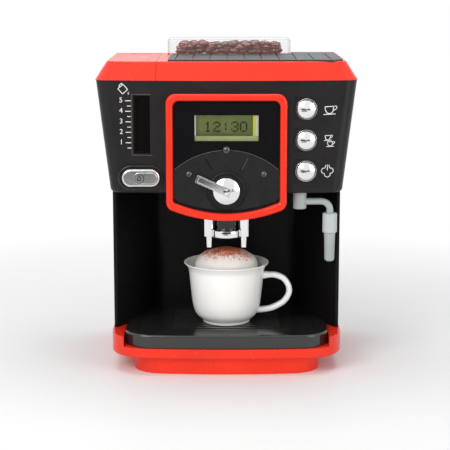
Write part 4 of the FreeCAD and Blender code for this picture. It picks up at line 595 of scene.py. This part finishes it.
print_strokes("one_cup_mark", cup_lines(90.0, 236.2, 1.0, 0.7), "button_panel")
small_cups = cup_lines(88.9, 211.9, 0.62, 0.6) + cup_lines(91.0, 206.4, 0.62, 0.6)
print_strokes("two_cup_mark", small_cups, "button_panel")
cloud = [(-2.1, 2.9), (-4.1, 2.6), (-5.4, 0.5), (-4.6, -1.6), (-2.6, -2.1), (-2.4, -4.1), (0, -5.4),
         (2.4, -4.1), (2.6, -2.0), (4.6, -1.5), (5.4, 0.6), (4.1, 2.6), (2.1, 2.9)]
plumes = [[(-2.1, 2.9), (-1.3, 5.4)], [(0, 0.6), (0, 5.6)], [(2.1, 2.9), (1.3, 5.4)]]
froth_lines = [(0.65, [(CLOUD_X + x, CLOUD_Z + z) for x, z in line]) for line in [cloud] + plumes]
print_strokes("froth_mark", froth_lines, "button_panel")

# Red covers: the wide one is screwed to the head, the narrow one at the left is the tank lid
# and turns on a steel pin. Both are polished like the frame.
cover_plastic = moulded("red_cover_moulding", RED, 0.24, grain=420, relief=0.03, drift=0.05, shine=0.38)
finish_node("top_cover", cover_plastic)
finish_node("tank_lid", cover_plastic)
finish_node("lid_hinge_pin", metal("pin_steel", (0.55, 0.55, 0.54), 0.25, grain=(200, 3000, 3000)))

# Cup warmer: a ribbed charcoal plate sunk into the cover.
finish_node("warmer_tray", moulded("warmer_moulding", (0.030, 0.029, 0.029), 0.40, grain=1200, relief=0.2))

# Bean hopper: a clear box over one moulded heap of glossy beans.
finish_node("bean_hopper", clear("hopper_clear", (0.80, 0.82, 0.82), 0.05, 0.05, 0.62))
BEAN_LONG, BEAN_WIDE, BEAN_TALL = 0.0124, 0.0090, 0.0066
FLAT_SIDE, CREASE_WIDE, CREASE_DEEP = 0.62, 0.16, 0.20
LAYER_HEIGHTS, COLUMNS, ROWS = (0.0036, 0.0066, 0.0094), 12, 5
END_ROOM = BEAN_LONG * 0.62
SIDE_ROOM = END_ROOM * 0.8
heap_low, heap_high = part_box("coffee_beans")


def bean_material():
    """Dark red-brown, in patches, under a thin coat."""
    material, nodes, links, shader, place = blank_material("bean_gloss")
    patches = noise_of(nodes, links, place, 120, 3)
    tint = two_tone(nodes, links, spread(nodes, links, patches, 0, 1), (0.055, 0.008, 0.004),
                    (0.30, 0.046, 0.018))
    links.new(tint, shader.inputs["Base Color"])
    scuffs = noise_of(nodes, links, place, 900, 3)
    links.new(spread(nodes, links, scuffs, 0.10, 0.26), shader.inputs["Roughness"])
    shader.inputs["Coat Weight"].default_value = 0.6
    shader.inputs["Coat Roughness"].default_value = 0.08
    eased_edges(nodes, links, shader, patches, 0.15, 0.0004, 0.0002)
    return material


def one_bean():
    """A bean with its flat side up and the crease along it."""
    mesh = bmesh.new()
    bmesh.ops.create_uvsphere(mesh, u_segments=12, v_segments=8, radius=0.5)
    bmesh.ops.scale(mesh, vec=(BEAN_LONG, BEAN_WIDE, BEAN_TALL), verts=mesh.verts)
    for vert in mesh.verts:
        if vert.co.z > 0:
            across = abs(vert.co.y) / (BEAN_WIDE / 2)
            vert.co.z *= FLAT_SIDE
            if across < CREASE_WIDE:
                vert.co.z -= BEAN_TALL * CREASE_DEEP
    all_smooth(mesh)
    data = bpy.data.meshes.new("bean")
    mesh.to_mesh(data)
    mesh.free()
    return data


def bean_heap():
    """Layers of beans in loose rows, each turned and leaning its own way."""
    draw = random.Random(7)
    bean = one_bean()
    mesh = bmesh.new()
    length = heap_high.x - heap_low.x - 2 * END_ROOM
    depth = heap_high.y - heap_low.y - 2 * SIDE_ROOM
    for layer, height in enumerate(LAYER_HEIGHTS):
        columns = COLUMNS - layer
        rows = ROWS - (layer + 1) // 2
        for column in range(columns):
            for row in range(rows):
                along = (column + 0.5 + draw.uniform(-0.2, 0.2)) / columns
                across = (row + 0.5 + draw.uniform(-0.16, 0.16)) / rows
                spot = Vector((heap_low.x + END_ROOM + along * length,
                               heap_low.y + SIDE_ROOM + across * depth,
                               heap_low.z + height + draw.uniform(-0.0006, 0.0006)))
                turn = Matrix.Rotation(draw.uniform(0, math.tau), 4, "Z")
                lean = Matrix.Rotation(draw.choice((0, math.pi)) + draw.uniform(-0.5, 0.5), 4, "X")
                copy = bean.copy()
                copy.transform(Matrix.Translation(spot) @ turn @ lean)
                mesh.from_mesh(copy)
                bpy.data.meshes.remove(copy)
    heap = new_piece("bean_heap", mesh, bean_material(), "machine")
    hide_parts("coffee_beans")


bean_heap()

# Coffee spout: a dark cylinder over a round plated band, between two plated tubes. Plain
# tapered nozzles end below.
SPOUT_Y = -0.040
CORE_RADIUS, CORE_SUNK = 0.0097, 0.001
TUBE_RADIUS, TUBE_APART = 0.0058, 0.0314
BAND_RADIUS, BAND_TALL = 0.0137, 0.0066
RIM_EASE, BAND_EASE = 0.0005, 0.0008
spout_low, spout_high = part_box("spout_body")
band_top = spout_low.z + BAND_TALL


def add_to(mesh, part):
    """Put the faces of one bmesh into another."""
    data = bpy.data.meshes.new("part")
    part.to_mesh(data)
    part.free()
    mesh.from_mesh(data)
    bpy.data.meshes.remove(data)


def turned_bar(mesh, x, radius, low, high, ease):
    """A round bar with its two rims eased."""
    bar = bmesh.new()
    middle = Matrix.Translation((x, SPOUT_Y, (low + high) / 2))
    bmesh.ops.create_cone(bar, cap_ends=True, segments=72, radius1=radius, radius2=radius,
                          depth=high - low, matrix=middle)
    rims = [edge for edge in bar.edges if abs(edge.verts[0].co.z - edge.verts[1].co.z) < 1e-7]
    bmesh.ops.bevel(bar, geom=rims, offset=ease, segments=3, affect="EDGES", profile=0.5, material=-1)
    for face in bar.faces:
        face.smooth = len(face.verts) == 4
    add_to(mesh, bar)


core = bmesh.new()
turned_bar(core, 0, CORE_RADIUS, band_top - CORE_SUNK, spout_high.z, RIM_EASE)
core_black = moulded("brew_head_moulding", (0.012, 0.006, 0.006), 0.14, grain=400, relief=0.04)
core_piece = new_piece("brew_core", core, core_black, "machine")
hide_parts("brew_head")
spout_chrome = metal("spout_plating", CHROME, 0.07, grain=(50, 50, 50), relief=0.02, edge=0.0)
plated = bmesh.new()
for side in (-1, 1):
    turned_bar(plated, side * TUBE_APART / 2, TUBE_RADIUS, spout_low.z, spout_high.z, RIM_EASE)
turned_bar(plated, 0, BAND_RADIUS, spout_low.z, band_top, BAND_EASE)
plated_piece = new_piece("spout_tubes_and_band", plated, spout_chrome, "machine")
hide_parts("spout_body")
nozzle_chrome = metal("nozzle_plating", CHROME, 0.12, grain=(60, 60, 60), relief=0.03, edge=0.0004)
finish_node("spout_nozzles", nozzle_chrome)

# Steam wand: light grey mouldings on a hub that turns: bent arm, thick sleeve, tapered tip.
WAND_GREY = (0.35, 0.385, 0.385)
WAND_PARTS = [
    ("wand_hub", WAND_GREY, 0.38, 0.12),
    ("wand_arm", WAND_GREY, 0.34, 0.08),
    ("wand_sleeve", (0.42, 0.455, 0.455), 0.42, 0.14),
    ("wand_tip", (0.36, 0.39, 0.39), 0.40, 0.12),
]
for node, grey, roughness, relief in WAND_PARTS:
    finish_node(node, moulded(node + "_moulding", grey, roughness, grain=900, relief=relief))

# Drip tray and the slotted plate in it: polished charcoal, so the cup mirrors in it.
TRAY_GREY = (0.0155, 0.0148, 0.0140)
finish_node("drip_tray", moulded("drip_tray_moulding", TRAY_GREY, 0.15, grain=350, relief=0.04,
                                 edge=0.0009, shine=0.7))
finish_node("drip_grille", moulded("grille_moulding", TRAY_GREY, 0.18, grain=350, relief=0.06, shine=0.6))

# Toy cup: glossy white polypropylene, a turned bowl on a low foot with a flared rim and a strap
# handle. The bowl is spun from its outline, in millimetres from the foot, and the handle swept.
CUP_OUTLINE = [(0, 1.2), (18.5, 1.2), (20.6, 0), (21.6, 0.2), (22.0, 1.6), (22.6, 2.9), (25.4, 5.0),
               (28.9, 9.3), (31.2, 17), (32.4, 27), (33.6, 38), (34.6, 47.6), (35.5, 50.6),
               (37.2, 53.4), (38.8, 55.2), (38.9, 55.9), (38.2, 56.0), (36.2, 54.6), (34.0, 51.4),
               (32.6, 47.6), (31.5, 38), (30.3, 27), (29.1, 17), (26.8, 10.4), (22, 6.0), (12, 3.6),
               (0, 3.4)]
HANDLE_LINE = [(32.6, 43.0), (38.5, 43.6), (45.5, 43.2), (52.6, 40.2), (57.2, 33.6), (57.8, 26.4),
               (53.0, 18.4), (43.0, 12.6), (35.0, 10.8), (28.0, 10.2)]
CUP_RADIUS, CUP_SPOKES = 0.039, 112
STRAP_WIDE, STRAP_THICK, STRAP_ROUND = 0.0040, 0.0027, 0.75
ROOT_STEPS, ROOT_WIDER, ROOT_THICKER = 6, 0.15, 0.35
cup_low, cup_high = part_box("cup")
CUP_AT = Vector((cup_low.x + CUP_RADIUS, (cup_low.y + cup_high.y) / 2, cup_low.z))


def flowing(points, steps):
    """Points in metres on a smooth line through the given ones."""
    spots = [Vector((x, z)) * MM for x, z in points]
    line = []
    for number in range(len(spots) - 1):
        before, here = spots[max(number - 1, 0)], spots[number]
        there, after = spots[number + 1], spots[min(number + 2, len(spots) - 1)]
        for step in range(steps):
            part = step / steps
            line.append(0.5 * (2 * here + (there - before) * part
                               + (2 * before - 5 * here + 4 * there - after) * part ** 2
                               + (3 * here - before - 3 * there + after) * part ** 3))
    return line + [spots[-1]]


def spin(mesh, outline, steps):
    """Turn an outline of (radius, height) points once round the upright axis."""
    verts = [mesh.verts.new((radius, 0, height)) for radius, height in outline]
    edges = [mesh.edges.new(pair) for pair in zip(verts, verts[1:])]
    bmesh.ops.spin(mesh, geom=verts + edges, axis=(0, 0, 1), cent=(0, 0, 0), steps=steps,
                   angle=math.tau, use_merge=True)
    bmesh.ops.remove_doubles(mesh, verts=mesh.verts, dist=1e-6)


def cup_handle(mesh):
    """A rounded strap carried along the handle's line, with both ends in the wall of the bowl."""
    line = flowing(HANDLE_LINE, 5)
    places = []
    for number, spot in enumerate(line):
        ahead, behind = line[min(number + 1, len(line) - 1)], line[max(number - 1, 0)]
        along = (ahead - behind).normalized()
        turn = Matrix(((0, -along.y, along.x), (1, 0, 0), (0, along.x, along.y))).to_4x4()
        root = max(0.0, 1 - number / ROOT_STEPS)
        size = Matrix.Diagonal((1 + ROOT_WIDER * root, 1 + ROOT_THICKER * root, 1, 1))
        places.append(Matrix.Translation((spot.x, 0, spot.y)) @ turn @ size)
    strap = bmesh.new()
    ring = bmesh.ops.create_circle(strap, cap_ends=False, segments=28, radius=1)["verts"]
    for vert in ring:
        vert.co.x = STRAP_WIDE * math.copysign(abs(vert.co.x) ** STRAP_ROUND, vert.co.x)
        vert.co.y = STRAP_THICK * math.copysign(abs(vert.co.y) ** STRAP_ROUND, vert.co.y)
    bmesh.ops.transform(strap, matrix=places[0], verts=ring)
    rim = list(strap.edges)
    for before, after in zip(places, places[1:]):
        grown = bmesh.ops.extrude_edge_only(strap, edges=rim)["geom"]
        rim = [part for part in grown if isinstance(part, bmesh.types.BMEdge)]
        moved = [part for part in grown if isinstance(part, bmesh.types.BMVert)]
        bmesh.ops.transform(strap, matrix=after @ before.inverted(), verts=moved)
    bmesh.ops.holes_fill(strap, edges=strap.edges, sides=0)
    add_to(mesh, strap)


def toy_cup():
    mesh = bmesh.new()
    spin(mesh, [(max(spot.x, 0), spot.y) for spot in flowing(CUP_OUTLINE, 4)], CUP_SPOKES)
    cup_handle(mesh)
    bmesh.ops.recalc_face_normals(mesh, faces=mesh.faces)
    bmesh.ops.translate(mesh, vec=CUP_AT, verts=mesh.verts)
    all_smooth(mesh)
    white = moulded("cup_moulding", (0.86, 0.85, 0.82), 0.15, grain=300, relief=0.02, edge=0.0, drift=0.012)
    piece = new_piece("cup_bowl_and_handle", mesh, white, "cup")
    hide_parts("cup")


toy_cup()

# Froth: one moulded dome that sits inside the cup, white with printed cocoa that thins out
# towards its edge.
FROTH_RINGS, FROTH_SPOKES = 26, 72
FLANGE_RADIUS, FLANGE_LOWER = 0.0315, 0.006
DOME_RADIUS, DOME_TALL, DOME_STEP, DOME_SWELL = 0.0288, 0.0184, 0.0014, 0.85
HOLLOW_DEEP, HOLLOW_SCALE, HOLLOW_BELOW = 0.0007, 180, 0.55
froth_low, froth_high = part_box("foam_insert")
froth_centre = (froth_low + froth_high) / 2


def reckoned(nodes, links, operation, first, second):
    """Two values put together by one step of arithmetic."""
    step = nodes.new("ShaderNodeMath")
    step.operation = operation
    links.new(first, step.inputs[0])
    links.new(second, step.inputs[1])
    return step.outputs["Value"]


def froth_material():
    """White, under specks of cocoa that lie closer together the higher they are."""
    material, nodes, links, shader, place = blank_material("froth_and_cocoa")
    centred = nodes.new("ShaderNodeMapping")
    centred.inputs["Location"].default_value = (-froth_centre.x, -froth_centre.y, -froth_high.z)
    links.new(place.outputs["Object"], centred.inputs["Vector"])
    parts = nodes.new("ShaderNodeSeparateXYZ")
    links.new(centred.outputs["Vector"], parts.inputs["Vector"])
    powder = noise_of(nodes, links, place, 640, 3, rough=0.7)
    patches = noise_of(nodes, links, place, 95, 3)
    depth = spread(nodes, links, parts.outputs["Z"], -0.60, 0.88, -0.0125, -0.0012)
    total = reckoned(nodes, links, "ADD", spread(nodes, links, powder, -0.75, 0.75), depth)
    drifted = reckoned(nodes, links, "ADD", total, spread(nodes, links, patches, -0.25, 0.25))
    cover = spread(nodes, links, drifted, 0.0, 1.0, 0.25, 0.60)
    grains = noise_of(nodes, links, place, 900, 2)
    cocoa = two_tone(nodes, links, spread(nodes, links, grains, 0, 1, 0.35, 0.65), (0.40, 0.045, 0.016),
                     (0.88, 0.27, 0.10))
    mix = nodes.new("ShaderNodeMix")
    mix.data_type = "RGBA"
    mix.inputs["A"].default_value = (0.82, 0.78, 0.74, 1)
    links.new(cover, mix.inputs["Factor"])
    links.new(cocoa, mix.inputs["B"])
    links.new(mix.outputs["Result"], shader.inputs["Base Color"])
    links.new(spread(nodes, links, powder, 0.45, 0.75), shader.inputs["Roughness"])
    shader.inputs["Subsurface Weight"].default_value = 0.08
    shader.inputs["Subsurface Scale"].default_value = 0.002
    eased_edges(nodes, links, shader, powder, 0.5, 0.0006, 0.0002)
    return material


def froth():
    """The dome, spun finely over a flange inside the cup, with soft hollows pressed into it."""
    floor_z = froth_low.z - FLANGE_LOWER
    step_z = froth_high.z - DOME_TALL
    tall = froth_high.z - step_z - DOME_STEP
    profile = [(0, floor_z), (FLANGE_RADIUS - 0.0008, floor_z), (FLANGE_RADIUS, floor_z + 0.002),
               (DOME_RADIUS + 0.0012, floor_z + 0.0028), (DOME_RADIUS - 0.0002, floor_z + 0.0045),
               (DOME_RADIUS, step_z)]
    for ring in range(FROTH_RINGS + 1):
        turn = math.pi / 2 * ring / FROTH_RINGS
        profile.append((DOME_RADIUS * math.cos(turn),
                        step_z + DOME_STEP + tall * math.sin(turn) ** DOME_SWELL))
    mesh = bmesh.new()
    spin(mesh, profile, FROTH_SPOKES)
    bmesh.ops.recalc_face_normals(mesh, faces=mesh.faces)
    for vert in mesh.verts:
        if vert.co.z > step_z + 0.002:
            lump = noise.fractal(vert.co * HOLLOW_SCALE, 1.0, 2.0, 3)
            vert.co += vert.normal * min(HOLLOW_DEEP * (lump - HOLLOW_BELOW), 0.0)
        vert.co += Vector((froth_centre.x, froth_centre.y, 0))
    all_smooth(mesh)
    top = new_piece("froth", mesh, froth_material(), "cup")
    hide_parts("foam_insert")


froth()

# Inside: clear tank on its ledges, pump, silicone hoses, loudspeaker and the main board.
finish_node("water_tank", clear("tank_clear", (0.72, 0.76, 0.78), 0.1, 0.12, 0.7))
finish_node("tank_rails", underside)
PUMP_BLACK, PUMP_GREY, PUMP_CAP = (0.02, 0.02, 0.021), (0.38, 0.38, 0.37), 0.018
pump_low, pump_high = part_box("water_pump")
finish_node("water_pump", banded("pump_case", "Z", [
    (pump_low.z, PUMP_BLACK),
    (pump_low.z + PUMP_CAP, PUMP_GREY),
    (pump_high.z - PUMP_CAP, PUMP_BLACK),
    (pump_high.z, PUMP_BLACK),
], 0.35))
hose = moulded("silicone_hose", (0.55, 0.56, 0.54), 0.48, grain=500, relief=0.08)
finish_node("suction_hose", hose)
finish_node("outlet_hose", hose)
finish_node("speaker", moulded("speaker_cone", (0.03, 0.028, 0.026), 0.7, grain=1800, relief=0.4))
finish_node("main_board", board)

# Studio: a pale flat floor that fades to white away from the machine, soft lamps, and black
# cards for the plated pieces to mirror. Distances are in metres.
FLOOR_BACK = 0.6
FADE_START, FADE_STOP = 0.20, 0.62


def stage_plane(name, size, place, turn, material):
    mesh = bmesh.new()
    bmesh.ops.create_grid(mesh, x_segments=1, y_segments=1, size=0.5)
    bmesh.ops.scale(mesh, vec=(*size, 1), verts=mesh.verts)
    data = bpy.data.meshes.new(name)
    mesh.to_mesh(data)
    mesh.free()
    data.materials.append(material)
    thing = in_scene(name, data)
    thing.location = place
    thing.rotation_euler = turn
    return thing


def seen_directly(nodes, links):
    """One for rays of the camera, also mirrored or through clear plastic, and nought for others."""
    paths = nodes.new("ShaderNodeLightPath")
    seen = paths.outputs["Is Camera Ray"]
    for kind in ("Is Glossy Ray", "Is Transmission Ray"):
        seen = reckoned(nodes, links, "MAXIMUM", seen, paths.outputs[kind])
    return seen


def floor_material():
    """Pale floor that takes the shadow and fades to plain white away from the machine."""
    material, nodes, links, shader, place = blank_material("studio_floor")
    shader.inputs["Base Color"].default_value = (0.82, 0.82, 0.81, 1)
    shader.inputs["Roughness"].default_value = 0.55
    shader.inputs["Specular IOR Level"].default_value = 0.2
    away = nodes.new("ShaderNodeVectorMath")
    away.operation = "DISTANCE"
    away.inputs[1].default_value = (0, -FLOOR_BACK, 0)
    links.new(place.outputs["Object"], away.inputs[0])
    far = spread(nodes, links, away.outputs["Value"], 0, 1, FADE_START, FADE_STOP)
    white = nodes.new("ShaderNodeEmission")
    white.inputs["Strength"].default_value = 1
    mix = nodes.new("ShaderNodeMixShader")
    links.new(reckoned(nodes, links, "MULTIPLY", far, seen_directly(nodes, links)), mix.inputs["Fac"])
    links.new(shader.outputs["BSDF"], mix.inputs[1])
    links.new(white.outputs["Emission"], mix.inputs[2])
    links.new(mix.outputs["Shader"], nodes["Material Output"].inputs["Surface"])
    return material


stage_plane("studio_floor", (6, 6), (0, FLOOR_BACK, -0.0002), (0, 0, 0), floor_material())


def area_lamp(name, size, power, place, target):
    lamp = bpy.data.lights.new(name, "AREA")
    lamp.shape = "RECTANGLE"
    lamp.size, lamp.size_y = size
    lamp.energy = power
    thing = in_scene(name, lamp)
    thing.location = place
    thing.rotation_euler = (Vector(target) - Vector(place)).to_track_quat("-Z", "Y").to_euler()
    return thing


area_lamp("key_lamp", (0.9, 0.7), 11, (-0.75, -1.05, 1.0), (0, 0, 0.15))
area_lamp("fill_lamp", (0.7, 1.0), 5.5, (1.1, -0.9, 0.5), (0, 0, 0.12))
bay_lamp = area_lamp("bay_lamp", (0.5, 0.4), 2.4, (-0.25, -1.1, 0.16), (0, 0, 0.07))
bay_lamp.visible_glossy = False
area_lamp("top_lamp", (1.2, 0.8), 9, (0.0, 0.15, 1.35), (0, 0, 0.1))


def black(name):
    material, _, _, shader, _ = blank_material(name)
    shader.inputs["Base Color"].default_value = (0.004, 0.004, 0.004, 1)
    shader.inputs["Roughness"].default_value = 0.6
    return material


def card(name, size, place, target):
    """A black card that only mirrors see."""
    turn = (Vector(target) - Vector(place)).to_track_quat("Z", "Y").to_euler()
    thing = stage_plane(name, size, place, turn, black(name))
    thing.visible_camera = False
    thing.visible_diffuse = False
    thing.visible_shadow = False
    thing.visible_transmission = False


card("card_floor", (2.6, 0.62), (0, -1.44, 0.002), (0, -1.44, 1))
card("card_front", (2.2, 0.3), (0, -1.78, 0.15), (0, 0, 0.15))
card("card_spout", (0.5, 0.34), (-0.08, -0.75, 0.002), (-0.08, -0.75, 1))


def backdrop():
    """White to the camera and in mirrors; a soft grey room to everything else."""
    world = bpy.data.worlds.new("studio_room")
    bpy.context.scene.world = world
    world.use_nodes = True
    nodes, links = world.node_tree.nodes, world.node_tree.links
    room = nodes["Background"]
    room.inputs["Color"].default_value = (0.95, 0.97, 1.0, 1)
    room.inputs["Strength"].default_value = 0.42
    white = nodes.new("ShaderNodeBackground")
    white.inputs["Color"].default_value = (1, 1, 1, 1)
    white.inputs["Strength"].default_value = 1
    mix = nodes.new("ShaderNodeMixShader")
    links.new(seen_directly(nodes, links), mix.inputs["Fac"])
    links.new(room.outputs["Background"], mix.inputs[1])
    links.new(white.outputs["Background"], mix.inputs[2])
    links.new(mix.outputs["Shader"], nodes["World Output"].inputs["Surface"])


backdrop()
bpy.context.scene.view_settings.view_transform = "Standard"

# Camera: the photograph's own view, from a little above the machine and looking slightly down.
CAMERA_AT = Vector((-0.0013, -1.269, 0.3573))
CAMERA_DOWN = math.radians(10.5)
CAMERA_LENS, CAMERA_SENSOR = 110.4, 36
camera_data = bpy.data.cameras.new("camera")
camera_data.sensor_width = CAMERA_SENSOR
camera_data.lens = CAMERA_LENS
camera = in_scene("camera", camera_data)
camera.location = CAMERA_AT
camera.rotation_euler = (math.pi / 2 - CAMERA_DOWN, 0, 0)
bpy.context.scene.camera = camera
